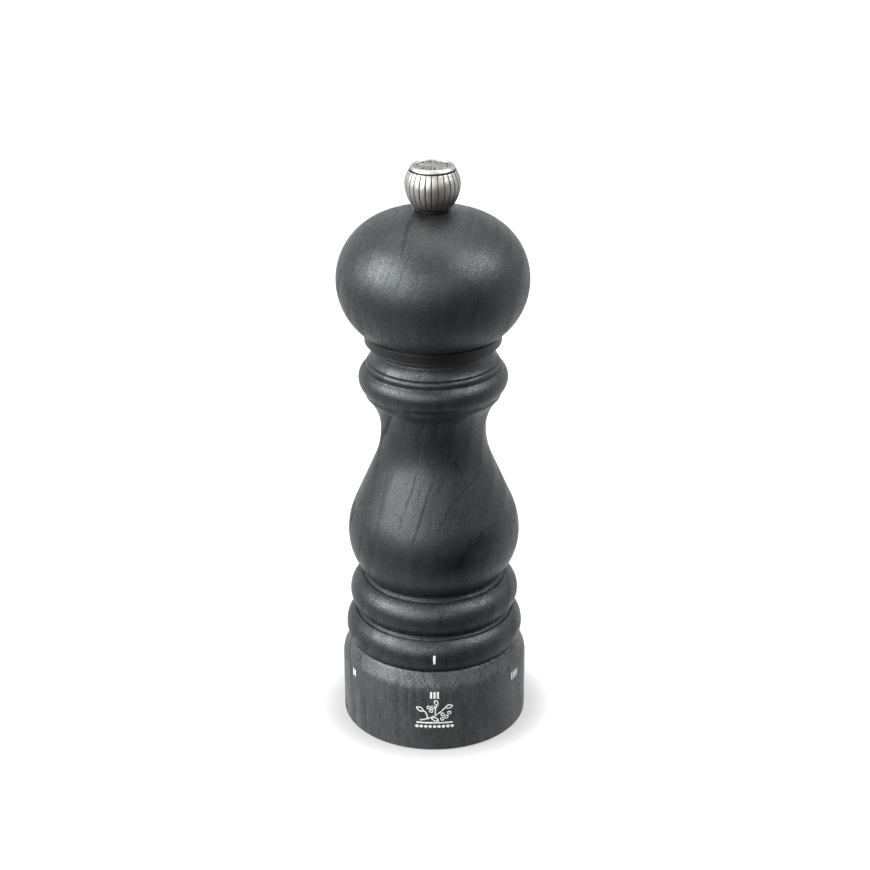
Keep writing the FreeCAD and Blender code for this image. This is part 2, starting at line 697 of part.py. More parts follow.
def make_pressure_spring():
    """The coil spring that keeps the inner burr down, between its top and the spring seat."""
    body = new_body("pressure_spring")
    low = dim.burr_top_z + dim.spring_wire_r
    high = dim.spider_z - dim.seat_gap - dim.seat_thick - dim.spring_wire_r
    wire = circle_sketch(body, "XZ_Plane", 0, dim.spring_mean_r, low, dim.spring_wire_r)
    coil = body.newObject("PartDesign::AdditiveHelix", "pressure_spring_coil")
    coil.Profile = wire
    coil.ReferenceAxis = (wire, ["V_Axis"])
    coil.Mode = "pitch-height-angle"
    bind(coil, "Height", high - low)
    bind(coil, "Pitch", (high - low) / dim.spring_turns)
    document.recompute()


def make_burr_screw():
    """The screw in the foot of the shaft, with a hexagon socket, which holds the inner burr."""
    head_top = dim.shaft_foot_z - dim.burr_washer_thick
    head_foot = head_top - dim.burr_screw_head
    runs = [
        line(dim.burr_screw_head_r, head_foot),
        line(dim.burr_screw_head_r, head_top),
        line(dim.burr_screw_r, head_top),
        line(dim.burr_screw_r, head_top + dim.burr_screw_length),
        line(0, head_top + dim.burr_screw_length),
    ]
    body = turned_piece("burr_screw", (0, head_foot), runs)
    socket = polygon_sketch(body, head_foot, dim.burr_screw_socket, 6)
    pocket(body, socket, dim.burr_screw_socket_depth)


def make_shaft_washers():
    """The washers and the clip on the shaft."""
    ring_piece(
        "burr_washer",
        dim.burr_washer_bore_r,
        dim.burr_washer_r,
        dim.shaft_foot_z - dim.burr_washer_thick,
        dim.burr_washer_thick,
    )
    ring_piece(
        "spring_seat",
        dim.washer_bore_r,
        dim.seat_r,
        dim.spider_z - dim.seat_gap - dim.seat_thick,
        dim.seat_thick,
    )
    ring_piece(
        "thrust_washer",
        dim.washer_bore_r,
        dim.thrust_washer_r,
        dim.thrust_washer_z,
        dim.thrust_washer_thick,
    )
    open_ring(
        "shaft_clip",
        dim.clip_bore_r,
        dim.clip_r,
        dim.clip_groove_z,
        dim.clip_thick,
        dim.clip_mouth,
        0.0,
    )


def make_head_drive_plate():
    """The plate under the head's stub, with a square hole that slides on the shaft."""
    low_z = dim.stub_foot_z - dim.plate_thick
    runs = [
        line(dim.plate_r, low_z),
        line(dim.plate_r, dim.stub_foot_z),
        line(0, dim.stub_foot_z),
    ]
    body = turned_piece("head_drive_plate", (0, low_z), runs)
    square_hole(body, low_z, dim.plate_hole_side, dim.plate_thick)
    hole = pocket(
        body,
        circle_sketch(
            body,
            "XY_Plane",
            low_z,
            dim.plate_screw_ring_r * math.cos(math.radians(PLATE_SCREW_TURN)),
            dim.plate_screw_ring_r * math.sin(math.radians(PLATE_SCREW_TURN)),
            dim.plate_hole_r,
        ),
        dim.plate_thick,
    )
    repeat_round(body, [hole], 3)
    screw_set(
        "drive_plate_screws",
        dim.plate_screw_ring_r,
        (dim.plate_screw_head_r, low_z - dim.plate_screw_head, low_z),
        (dim.plate_screw_r, low_z, dim.stub_foot_z + dim.plate_screw_grip),
        PLATE_SCREW_TURN,
    )


# ---------------------------------------------------------------- outer burr and its carrier

def make_grind_crown():
    """The outer burr: a ring whose bore narrows to a throat, then widens beside the inner burr."""
    runs = [
        line(dim.crown_r, dim.burr_foot_z),
        line(dim.crown_r, dim.crown_top_z),
        line(dim.crown_lip_r, dim.crown_top_z),
        line(dim.crown_throat_r, dim.crown_throat_z),
        line(dim.burr_break_r + dim.crown_gap, dim.burr_break_z),
    ]
    start = (dim.burr_foot_r + dim.crown_gap, dim.burr_foot_z)
    body = turned_piece("grind_crown", start, runs)
    root_r = dim.burr_break_r
    tooth = outline_sketch(
        body,
        "XY_Plane",
        dim.burr_foot_z,
        (root_r, -dim.crown_tooth_half),
        [line(dim.crown_tooth_root_r, 0), line(root_r, dim.crown_tooth_half)],
    )
    cut = pocket(body, tooth, dim.crown_top_z - dim.burr_foot_z)
    repeat_round(body, [cut], dim.crown_tooth_count)


def make_crown_carrier():
    """The cup of the outer burr. Its three lugs reach through the housing to the sleeve."""
    groove_top = dim.carrier_groove_z + dim.carrier_groove_height
    runs = [
        line(dim.carrier_r, dim.carrier_foot_z),
        line(dim.carrier_r, dim.carrier_top_z),
        line(dim.carrier_lip_r, dim.carrier_top_z),
        line(dim.carrier_lip_r, dim.carrier_lip_z),
        line(dim.carrier_bore_r, dim.carrier_lip_z),
        line(dim.carrier_bore_r, groove_top),
        line(dim.carrier_groove_r, groove_top),
        line(dim.carrier_groove_r, dim.carrier_groove_z),
        line(dim.carrier_bore_r, dim.carrier_groove_z),
    ]
    body = turned_piece("crown_carrier", (dim.carrier_bore_r, dim.carrier_foot_z), runs)
    half = dim.lug_width / 2
    lug = pad(
        body,
        box_sketch(
            body, "XY_Plane", dim.lug_foot_z, (dim.lug_root, -half), (dim.lug_reach, half)
        ),
        dim.lug_height,
    )
    repeat_round(body, [lug], 3)
    open_ring(
        "crown_clip",
        dim.crown_clip_bore_r,
        dim.crown_clip_r,
        dim.crown_clip_z,
        dim.crown_clip_thick,
        dim.crown_clip_mouth,
        CROWN_CLIP_TURN,
    )


# ---------------------------------------------------------------- housing in the body

def make_mechanism_housing():
    """The housing in the body's foot: a slotted guide tube, a flange and a three-armed spider."""
    groove_top = dim.ring_groove_z + dim.ring_groove_height
    flange_top = dim.flange_z + dim.flange_thick
    tube_top = dim.housing_seat_z - dim.housing_fit
    runs = [
        line(dim.tube_r, dim.tube_foot_z),
        line(dim.tube_r, dim.ring_groove_z),
        line(dim.ring_groove_r, dim.ring_groove_z),
        line(dim.ring_groove_r, groove_top),
        line(dim.tube_r, groove_top),
        line(dim.tube_r, dim.flange_z),
        line(dim.flange_r, dim.flange_z),
        line(dim.flange_r, flange_top),
        line(dim.housing_seat_r - dim.housing_fit, flange_top),
        line(dim.housing_seat_r - dim.housing_fit, tube_top),
        line(dim.tube_bore_r, tube_top),
    ]
    body = turned_piece(
        "mechanism_housing", (dim.tube_bore_r, dim.tube_foot_z), runs, HOUSING_SCREW_TURN
    )
    spider_height = tube_top - dim.spider_z
    half = dim.arm_width / 2
    arm = pad(
        body,
        outline_sketch(
            body,
            "XY_Plane",
            dim.spider_z,
            (0, -half),
            [line(dim.arm_reach, -half), line(dim.arm_reach, half), line(0, half)],
            SPIDER_ARM_TURN - HOUSING_SCREW_TURN,
        ),
        spider_height,
    )
    repeat_round(body, [arm], 3)
    pad(body, circle_sketch(body, "XY_Plane", dim.spider_z, 0, 0, dim.hub_r), spider_height)
    pocket(
        body, circle_sketch(body, "XY_Plane", dim.spider_z, 0, 0, dim.hub_bore_r), spider_height
    )
    slot_half = dim.slot_width / 2
    slot_low = dim.tube_bore_r - dim.overcut
    slot = pocket(
        body,
        outline_sketch(
            body,
            "XY_Plane",
            dim.tube_foot_z,
            (slot_low, -slot_half),
            [
                line(slot_low + dim.slot_depth, -slot_half),
                line(slot_low + dim.slot_depth, slot_half),
                line(slot_low, slot_half),
            ],
            -HOUSING_SCREW_TURN,
        ),
        dim.slot_top_z - dim.tube_foot_z,
    )
    repeat_round(body, [slot], 3)
    screw_holes(
        body,
        dim.housing_screw_ring_r,
        dim.housing_screw_hole_r,
        dim.flange_z,
        dim.flange_thick,
    )
    screw_holes(
        body,
        dim.housing_screw_ring_r,
        dim.housing_screw_sink_r,
        dim.flange_z,
        dim.housing_screw_sink,
    )
    pocket_half = dim.detent_pocket_length / 2
    pocket(
        body,
        outline_sketch(
            body,
            "XY_Plane",
            dim.flange_z,
            (-pocket_half, dim.detent_pocket_inner),
            [
                line(pocket_half, dim.detent_pocket_inner),
                line(pocket_half, dim.detent_pocket_inner + dim.detent_pocket_width),
                line(-pocket_half, dim.detent_pocket_inner + dim.detent_pocket_width),
            ],
            -HOUSING_SCREW_TURN,
        ),
        dim.detent_pocket_depth,
    )
    sink_top = dim.flange_z + dim.housing_screw_sink
    screw_set(
        "housing_screws",
        dim.housing_screw_ring_r,
        (dim.housing_screw_head_r, dim.flange_z + dim.screw_head_sunk, sink_top),
        (dim.housing_screw_r, sink_top, dim.flange_seat_z + dim.housing_screw_grip),
        HOUSING_SCREW_TURN,
    )


def make_shaft_bush():
    """The flanged bush in the spider's hub that the shaft's round corners run in."""
    tube_top = dim.housing_seat_z - dim.housing_fit
    bush_top = tube_top + dim.bush_flange_thick
    runs = [
        line(dim.bush_r, dim.spider_z),
        line(dim.bush_r, tube_top),
        line(dim.bush_flange_r, tube_top),
        line(dim.bush_flange_r, bush_top),
        line(dim.bush_bore_r, bush_top),
    ]
    turned_piece("shaft_bush", (dim.bush_bore_r, dim.spider_z), runs)


def make_detent_spring():
    """The leaf in the flange's pocket, whose bent middle drops into the sleeve's notches."""
    body = new_body("detent_spring")
    top = dim.leaf_thick
    level = -(dim.leaf_inner + dim.leaf_width)
    runs = [
        line(-dim.leaf_bump_half, dim.leaf_bump_z),
        line(0, dim.leaf_tip_z),
        line(dim.leaf_bump_half, dim.leaf_bump_z),
        line(dim.leaf_half, dim.leaf_end_z),
        line(dim.leaf_half, dim.leaf_end_z + top),
        line(dim.leaf_bump_half, dim.leaf_bump_z + top),
        line(0, dim.leaf_tip_z + top),
        line(-dim.leaf_bump_half, dim.leaf_bump_z + top),
        line(-dim.leaf_half, dim.leaf_end_z + top),
    ]
    leaf = outline_sketch(body, "XZ_Plane", level, (-dim.leaf_half, dim.leaf_end_z), runs)
    pad(body, leaf, dim.leaf_width)


# ---------------------------------------------------------------- adjuster in the base ring

def make_adjuster_sleeve():
    """The sleeve in the base ring: thread for the lugs, flange for its screws, six notches."""
    runs = [
        line(dim.sleeve_r, dim.sleeve_foot_z),
        line(dim.sleeve_r, dim.sleeve_flange_z),
        line(dim.sleeve_flange_r, dim.sleeve_flange_z),
        line(dim.sleeve_flange_r, dim.ring_web_z),
        line(dim.sleeve_neck_r, dim.ring_web_z),
        line(dim.sleeve_neck_r, dim.sleeve_top_z),
        line(dim.sleeve_bore_r, dim.sleeve_top_z),
        line(dim.sleeve_bore_r, dim.sleeve_thread_top),
        line(dim.sleeve_thread_r, dim.sleeve_thread_top),
    ]
    body = turned_piece(
        "adjuster_sleeve", (dim.sleeve_thread_r, dim.sleeve_foot_z), runs, NOTCH_TURN
    )
    notch = outline_sketch(
        body,
        "YZ_Plane",
        dim.sleeve_neck_r + dim.overcut,
        (0, dim.sleeve_top_z - dim.notch_depth),
        [line(dim.notch_half, dim.sleeve_top_z), line(-dim.notch_half, dim.sleeve_top_z)],
    )
    cut = pocket(body, notch, dim.notch_length, along_normal=False)
    repeat_round(body, [cut], dim.notch_count)
    hole = pocket(
        body,
        circle_sketch(
            body,
            "XY_Plane",
            dim.sleeve_flange_z,
            dim.sleeve_screw_ring_r * math.cos(math.radians(SLEEVE_SCREW_TURN - NOTCH_TURN)),
            dim.sleeve_screw_ring_r * math.sin(math.radians(SLEEVE_SCREW_TURN - NOTCH_TURN)),
            dim.sleeve_screw_hole_r,
        ),
        dim.ring_web_z - dim.sleeve_flange_z,
    )
    repeat_round(body, [hole], 3)
    screw_set(
        "sleeve_screws",
        dim.sleeve_screw_ring_r,
        (
            dim.sleeve_screw_head_r,
            dim.sleeve_flange_z - dim.sleeve_screw_head,
            dim.sleeve_flange_z,
        ),
        (dim.sleeve_screw_r, dim.sleeve_flange_z, dim.ring_web_z + dim.sleeve_screw_grip),
        SLEEVE_SCREW_TURN,
    )
    open_ring(
        "sleeve_retaining_ring",
        dim.retaining_ring_bore_r,
        dim.retaining_ring_r,
        dim.retaining_ring_z,
        dim.retaining_ring_thick,
        dim.retaining_ring_mouth,
        RETAINING_RING_TURN,
    )


def make_bottom_cover():
    """The cover pressed into the base ring, open in the middle for the burrs."""
    top_z = dim.cover_z + dim.cover_thick
    runs = [
        line(dim.cover_r, dim.cover_z),
        line(dim.cover_r, dim.cover_skirt_top),
        line(dim.cover_skirt_r, dim.cover_skirt_top),
        line(dim.cover_skirt_r, top_z),
        line(dim.cover_bore_r, top_z),
        line(dim.cover_bore_r, dim.cover_z + dim.cover_bevel),
    ]
    start = (dim.cover_bore_r + dim.cover_bevel, dim.cover_z)
    turned_piece("bottom_cover", start, runs)


# ---------------------------------------------------------------- knob

def make_knob():
    """The fluted knob with a blind threaded bore and a seat for its cap."""
    runs = [
        line(dim.knob_foot_r, dim.knob_foot_z),
        line(dim.knob_foot_r, dim.knob_foot_z + dim.knob_foot_rise),
        bulge(dim.knob_low_r, dim.knob_low_z, dim.knob_low_arc),
        bulge(dim.knob_r, dim.knob_mid_z, dim.knob_arc_under),
        bulge(dim.knob_high_r, dim.knob_high_z, dim.knob_arc_over),
        line(dim.knob_rim_r, dim.knob_rim_z),
        line(dim.cap_seat_r, dim.knob_rim_z),
        line(dim.cap_seat_r, dim.cap_seat_z),
        line(0, dim.cap_seat_z),
        line(0, dim.knob_bore_top_z),
        line(dim.knob_bore_r, dim.knob_bore_top_z),
    ]
    body = turned_piece("knob", (dim.knob_bore_r, dim.knob_foot_z), runs)
    depth = dim.flute_depth
    outer_r = dim.knob_r + dim.overcut
    low_z = dim.knob_low_z - dim.overcut
    flute = outline_sketch(
        body,
        "XZ_Plane",
        dim.flute_width / 2,
        (outer_r, low_z),
        [
            line(outer_r, dim.knob_high_z),
            line(dim.knob_high_r - depth / 2, dim.knob_high_z),
            hollow(dim.knob_r - depth, dim.knob_mid_z, dim.knob_arc_over),
            hollow(dim.knob_low_r - depth / 2, low_z, dim.knob_arc_under),
        ],
    )
    cut = pocket(body, flute, dim.flute_width, along_normal=False)
    repeat_round(body, [cut], dim.flute_count)


def make_knob_cap():
    """The dished disc with a raised rim, pressed into the top of the knob."""
    runs = [
        line(dim.cap_r, dim.cap_seat_z),
        line(dim.cap_r, dim.cap_neck_low),
        line(dim.cap_neck_r, dim.cap_neck_low),
        line(dim.cap_neck_r, dim.cap_neck_high),
        line(dim.cap_r, dim.cap_neck_high),
        line(dim.cap_r, dim.cap_top_z - dim.cap_round),
        bulge(dim.cap_r - dim.cap_round, dim.cap_top_z, dim.cap_round),
        line(dim.cap_rim_r, dim.cap_top_z),
        line(dim.cap_rim_r, dim.cap_dish_z),
        line(0, dim.cap_dish_z),
    ]
    turned_piece("knob_cap", (0, dim.cap_seat_z), runs)


def make_knob_washer():
    """The thin washer in the head's recess, under the knob."""
    ring_piece(
        "knob_washer",
        dim.knob_washer_bore_r,
        dim.knob_washer_r,
        dim.knob_seat_z,
        dim.knob_washer_thick,
    )


# ---------------------------------------------------------------- the whole mill

def check_document():
    """Stops the build where any object has failed or any piece isn't a sound solid."""
    document.recompute()
    for item in document.Objects:
        if "Invalid" in item.State or "Error" in item.State:
            raise RuntimeError(f"{item.Label} failed: {item.State}")
    for body in bodies:
        shape = body.Shape
        if shape.isNull() or not shape.isValid() or not shape.Solids:
            raise RuntimeError(f"{body.Label} has no sound solid")


def export_pieces():
    """Writes one STEP file for each piece."""
    os.makedirs(PARTS_FOLDER, exist_ok=True)
    for body in bodies:
        body.Shape.exportStep(os.path.join(PARTS_FOLDER, body.Label + ".step"))
        print(body.Label, len(body.Shape.Solids), round(body.Shape.Volume, 1))


make_body_wood()
make_swivel_collar()
make_head_wood()
make_base_ring_wood()
make_drive_shaft()
make_grinding_nut()
make_pressure_spring()
make_burr_screw()
make_shaft_washers()
make_head_drive_plate()
make_grind_crown()
make_crown_carrier()
make_mechanism_housing()
make_shaft_bush()
make_detent_spring()
make_adjuster_sleeve()
make_bottom_cover()
make_knob()
make_knob_cap()
make_knob_washer()
check_document()
export_pieces()
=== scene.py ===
import math

import bpy
import bmesh
from mathutils import Euler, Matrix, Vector


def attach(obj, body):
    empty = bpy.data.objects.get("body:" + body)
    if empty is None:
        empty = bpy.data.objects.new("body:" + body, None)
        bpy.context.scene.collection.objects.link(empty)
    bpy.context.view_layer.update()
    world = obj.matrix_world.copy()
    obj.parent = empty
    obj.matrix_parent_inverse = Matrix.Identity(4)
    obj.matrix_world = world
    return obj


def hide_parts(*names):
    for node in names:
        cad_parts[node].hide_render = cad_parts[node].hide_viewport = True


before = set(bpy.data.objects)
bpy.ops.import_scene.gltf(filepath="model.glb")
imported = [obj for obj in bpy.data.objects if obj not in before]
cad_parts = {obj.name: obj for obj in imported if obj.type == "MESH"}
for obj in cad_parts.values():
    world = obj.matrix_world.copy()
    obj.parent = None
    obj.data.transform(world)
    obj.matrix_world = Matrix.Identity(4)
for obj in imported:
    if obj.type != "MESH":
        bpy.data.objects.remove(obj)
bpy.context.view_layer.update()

# A pepper mill in graphite-stained wood. Outlines below are in millimetres, (radius, height),
# drawn anticlockwise with the material on the left. Blender objects are in metres.
MM = 0.001
TURNED_STEPS = 288
RING_STEPS = 720
CAP_STEPS = 144
STEPS_PER_FLUTE = 20
ARC_STEP_DEGREES = 4.0
CREASE_DEGREES = 38.0
SURFACE_RADIUS = 27.0

# Measures that a piece's shape and its material share, in millimetres.
FLUTES = 27
FLUTE_TURN = math.radians(1.8)
CAP_SEAM = 178.78
CAP_FLOOR = 179.55
# Heights over which painted shade darkens the knob towards its foot and right side, and over which the
# foot goes near-black with painted shade.
KNOB_PAINTED_SHADE = (174.6, 169.4)
KNOB_FOOT_PAINTED_SHADE = (168.2, 167.2)


# ---------------------------------------------------------------- outlines

def line(x, y):
    """A straight run to (x, y)."""
    return (x, y, None, 0)


def bulge(x, y, radius):
    """An arc to (x, y) that bulges out of the material."""
    return (x, y, radius, 1)


def hollow(x, y, radius):
    """An arc to (x, y) that curves into the material."""
    return (x, y, radius, -1)


def arc_points(start, end, radius, side):
    """Points along the shorter arc from start to end, without its first point."""
    chord = end - start
    left = Vector((-chord.y, chord.x)).normalized()
    rise = math.sqrt(max(radius ** 2 - (chord.length / 2) ** 2, 0.0))
    centre = (start + end) / 2 + left * rise * side
    first = math.atan2(start.y - centre.y, start.x - centre.x)
    last = math.atan2(end.y - centre.y, end.x - centre.x)
    sweep = (last - first) * side % (2 * math.pi) * side
    count = max(2, math.ceil(abs(math.degrees(sweep)) / ARC_STEP_DEGREES))
    points = []
    for step in range(1, count + 1):
        angle = first + sweep * step / count
        points.append(centre + Vector((math.cos(angle), math.sin(angle))) * radius)
    return points


def long_run(start, end, longest):
    """Points along a straight run, at most longest apart, without its first point."""
    count = max(1, math.ceil((end - start).length / longest))
    return [start.lerp(end, step / count) for step in range(1, count + 1)]


def eased(points, cut, closed):
    """The outline with each sharp corner cut back a little and rounded."""
    result = []
    count = len(points)
    for index, corner in enumerate(points):
        ends = not closed and index in (0, count - 1)
        before = points[index - 1]
        after = points[(index + 1) % count]
        into = corner - before
        out = after - corner
        if ends or into.length < 1e-6 or out.length < 1e-6:
            result.append(corner)
            continue
        if abs(into.angle_signed(out)) < math.radians(CREASE_DEGREES / 2):
            result.append(corner)
            continue
        near = min(cut, into.length / 2.2, out.length / 2.2)
        a = corner - into.normalized() * near
        b = corner + out.normalized() * near
        middle = (a + b) / 4 + corner / 2
        result += [a, middle, b]
    return result


def outline(start, runs, edge=0.15, closed=True, longest=2.0):
    """The points of an outline, in millimetres."""
    here = Vector(start)
    points = [here]
    for x, y, radius, side in runs + ([line(*start)] if closed else []):
        target = Vector((x, y))
        if radius is None:
            points += long_run(here, target, longest)
        else:
            points += arc_points(here, target, radius, side)
        here = target
    if closed:
        points.pop()
    return eased(points, edge, closed)


# ---------------------------------------------------------------- meshes

def new_piece(name, vertices, faces):
    """A mesh object with clean outward normals, smooth but for its creases."""
    mesh = bpy.data.meshes.new(name)
    mesh.from_pydata([tuple(v) for v in vertices], [], faces)
    mesh.validate()
    work = bmesh.new()
    work.from_mesh(mesh)
    bmesh.ops.remove_doubles(work, verts=work.verts, dist=1e-7)
    bmesh.ops.recalc_face_normals(work, faces=work.faces)
    work.to_mesh(mesh)
    work.free()
    mesh.polygons.foreach_set("use_smooth", [True] * len(mesh.polygons))
    mesh.set_sharp_from_angle(angle=math.radians(CREASE_DEGREES))
    piece = bpy.data.objects.new(name, mesh)
    bpy.context.scene.collection.objects.link(piece)
    return piece


def turned(name, points, steps=TURNED_STEPS, shape=None, closed=True):
    """A turned piece. shape(radius, height, angle) may change the radius round the piece."""
    vertices = []
    rows = []
    for point in points:
        if point.x < 1e-6:
            rows.append([len(vertices)] * steps)
            vertices.append(Vector((0, 0, point.y * MM)))
            continue
        rows.append(list(range(len(vertices), len(vertices) + steps)))
        for step in range(steps):
            angle = 2 * math.pi * step / steps
            radius = shape(point.x, point.y, angle) if shape else point.x
            vertices.append(
                Vector((radius * math.cos(angle), radius * math.sin(angle), point.y)) * MM
            )
    faces = []
    last = len(rows) if closed else len(rows) - 1
    for index in range(last):
        low = rows[index]
        high = rows[(index + 1) % len(rows)]
        for step in range(steps):
            after = (step + 1) % steps
            corners = [low[step], low[after], high[after], high[step]]
            corners = list(dict.fromkeys(corners))
            if len(corners) > 2:
                faces.append(corners)
    return new_piece(name, vertices, faces)


def finish_piece(piece, body, material, slot, *nodes):
    """Gives a piece its material and its body, and hides the CAD nodes that it stands for."""
    piece.data.materials.append(material)
    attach(piece, body)
    if nodes:
        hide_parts(*nodes)
    return piece


# ---------------------------------------------------------------- node graphs

class Graph:
    """A material's node graph, with short calls for the nodes used here."""

    def __init__(self, name):
        self.material = bpy.data.materials.new(name)
        self.material.use_nodes = True
        self.tree = self.material.node_tree
        self.tree.nodes.clear()
        self.shader = self.node("ShaderNodeBsdfPrincipled")
        output = self.node("ShaderNodeOutputMaterial")
        self.join(self.shader.outputs["BSDF"], output.inputs["Surface"])
        self.place = self.node("ShaderNodeTexCoord").outputs["Object"]

    def node(self, kind, **settings):
        made = self.tree.nodes.new(kind)
        for key, value in settings.items():
            setattr(made, key, value)
        return made

    def join(self, source, target):
        self.tree.links.new(source, target)

    def feed(self, socket, value):
        """Links a socket to an output, or sets its number."""
        if isinstance(value, bpy.types.NodeSocket):
            self.join(value, socket)
        else:
            socket.default_value = value

    def calc(self, operation, a, b=0.0, c=0.0, clamp=False):
        """One step of arithmetic on outputs or numbers."""
        made = self.node("ShaderNodeMath", operation=operation, use_clamp=clamp)
        for socket, value in zip(made.inputs, (a, b, c)):
            self.feed(socket, value)
        return made.outputs[0]

    def vector(self, operation, a, b=(0.0, 0.0, 0.0), scale=None):
        made = self.node("ShaderNodeVectorMath", operation=operation)
        self.feed(made.inputs[0], a)
        if scale is None:
            self.feed(made.inputs[1], b)
        else:
            made.inputs["Scale"].default_value = scale
        return made.outputs["Vector"]

    def length(self, a):
        made = self.node("ShaderNodeVectorMath", operation="LENGTH")
        self.join(a, made.inputs[0])
        return made.outputs["Value"]

    def dot(self, a, b):
        made = self.node("ShaderNodeVectorMath", operation="DOT_PRODUCT")
        self.join(a, made.inputs[0])
        made.inputs[1].default_value = b
        return made.outputs["Value"]

    def split(self, a):
        made = self.node("ShaderNodeSeparateXYZ")
        self.join(a, made.inputs[0])
        return made.outputs

    def combine(self, x, y, z):
        made = self.node("ShaderNodeCombineXYZ")
        for socket, value in zip(made.inputs, (x, y, z)):
            self.feed(socket, value)
        return made.outputs[0]

    def noise(self, place, scale, detail=3.0, rough=0.55, colour=False):
        """Noise whose features are about 1 / scale of the place's unit."""
        made = self.node("ShaderNodeTexNoise")
        self.join(place, made.inputs["Vector"])
        made.inputs["Scale"].default_value = scale
        made.inputs["Detail"].default_value = detail
        made.inputs["Roughness"].default_value = rough
        return made.outputs["Color" if colour else "Fac"]

    def centred(self, place, scale, detail):
        """Three noises round zero, as a vector."""
        return self.vector("SUBTRACT", self.noise(place, scale, detail, colour=True), (0.5, 0.5, 0.5))

    def cells(self, place, scale):
        """How far a place is from the nearest of many scattered points."""
        made = self.node("ShaderNodeTexVoronoi")
        self.join(place, made.inputs["Vector"])
        made.inputs["Scale"].default_value = scale
        return made.outputs["Distance"]

    def weighed(self, start, *terms):
        """A start value with a share of each mask added: a term is (mask, share)."""
        for mask, share in terms:
            start = self.calc("MULTIPLY_ADD", mask, share, start)
        return start

    def strongest(self, masks):
        """The highest of several masks."""
        result = masks[0]
        for mask in masks[1:]:
            result = self.calc("MAXIMUM", result, mask)
        return result

    def remap(self, value, low, high, to_low=0.0, to_high=1.0):
        """A smooth step of a value from one range to another."""
        made = self.node("ShaderNodeMapRange", interpolation_type="SMOOTHSTEP")
        for index, item in enumerate((value, low, high, to_low, to_high)):
            self.feed(made.inputs[index], item)
        return made.outputs[0]

    def blend(self, factor, a, b):
        """A mix of two colours, all b where the factor is 1."""
        made = self.node("ShaderNodeMix", data_type="RGBA")
        self.feed(made.inputs[0], factor)
        self.feed(made.inputs[6], a)
        self.feed(made.inputs[7], b)
        return made.outputs[2]

    def bump(self, height, strength, distance_mm):
        made = self.node("ShaderNodeBump")
        made.inputs["Strength"].default_value = strength
        made.inputs["Distance"].default_value = distance_mm * MM
        self.join(height, made.inputs["Height"])
        return made.outputs["Normal"]

    def set(self, **values):
        """Sets the shader's sockets: words stand for names, with _ for a space."""
        for key, value in values.items():
            self.feed(self.shader.inputs[key.replace("_", " ")], value)

    def millimetres(self, shift=(0.0, 0.0, 0.0)):
        """The object's own place in millimetres, moved by a shift."""
        scaled = self.vector("SCALE", self.place, scale=1.0 / MM)
        return self.vector("ADD", scaled, shift)


def at_the_front(g, y):
    """1 on the front half of the mill and 0 behind."""
    return g.remap(y, 0.0, -2.0)


def way_round(g, x, y):
    """How far round the mill a place is, in millimetres at its surface."""
    return g.calc("MULTIPLY", g.calc("ARCTAN2", x, y), SURFACE_RADIUS)


def split_line(g, place, points, width):
    """How near a place is to a dark grain line, which runs through (x, z) points at the front."""
    x, y, z = g.split(place)
    flat = g.combine(x, z, 0.0)
    nearest = None
    for start, end in zip(points, points[1:]):
        along = Vector((end[0] - start[0], end[1] - start[1], 0.0))
        offset = g.vector("SUBTRACT", flat, (start[0], start[1], 0.0))
        share = g.dot(offset, tuple(along / along.length_squared))
        share = g.calc("ADD", share, 0.0, clamp=True)
        foot = g.vector("MULTIPLY", g.combine(share, share, 0.0), tuple(along))
        gap = g.length(g.vector("SUBTRACT", offset, foot))
        nearest = gap if nearest is None else g.calc("MINIMUM", nearest, gap)
    return g.calc("MULTIPLY", g.remap(nearest, width, width * 0.2), at_the_front(g, y))


def split_lines(g, place, bent, splits):
    """A mask of each split: (strength, points). A stronger one is wider too, and all fade in places."""
    fading = g.noise(place, 0.22, 2.0)
    masks = []
    for strength, points in splits:
        line = split_line(g, bent, points, 0.35 + 0.3 * strength)
        shown = g.remap(fading, 0.35, 0.62, strength * 0.5, strength)
        masks.append(g.calc("MULTIPLY", line, shown))
    return masks


def dark_patch(g, place, x0, z0, half_width, half_height):
    """How far a place is inside a soft dark patch at the front."""
    x, y, z = g.split(place)
    across = g.calc("DIVIDE", g.calc("SUBTRACT", x, x0), half_width)
    up = g.calc("DIVIDE", g.calc("SUBTRACT", z, z0), half_height)
    out = g.length(g.combine(across, up, 0.0))
    return g.calc("MULTIPLY", g.remap(out, 1.0, 0.1), at_the_front(g, y))


def hatched(g, x, y, z):
    """Short crossed strokes, as a turning tool leaves them on end grain."""
    around = way_round(g, x, y)
    strokes = []
    for slant in (0.9, -0.7):
        across = g.calc("MULTIPLY", g.calc("MULTIPLY_ADD", z, slant, around), 2.2)
        one_way = g.noise(g.combine(across, g.calc("MULTIPLY", z, 0.12), slant), 1.0, 1.0)
        strokes.append(g.remap(one_way, 0.50, 0.62))
    return g.strongest(strokes)


def dark_edge_marks(g, x, y, z):
    """Small dark marks over the nicks along the base ring's upper edge, at the front right."""
    place = g.combine(way_round(g, x, y), g.calc("MULTIPLY", z, 0.4), 0.0)
    teeth = g.remap(g.noise(place, 0.85, 1.0), 0.50, 0.58)
    edge = g.calc("MULTIPLY", g.remap(z, 24.9, 25.9), g.remap(x, 14.5, 18.5))
    return g.calc("MULTIPLY", g.calc("MULTIPLY", teeth, edge), at_the_front(g, y))


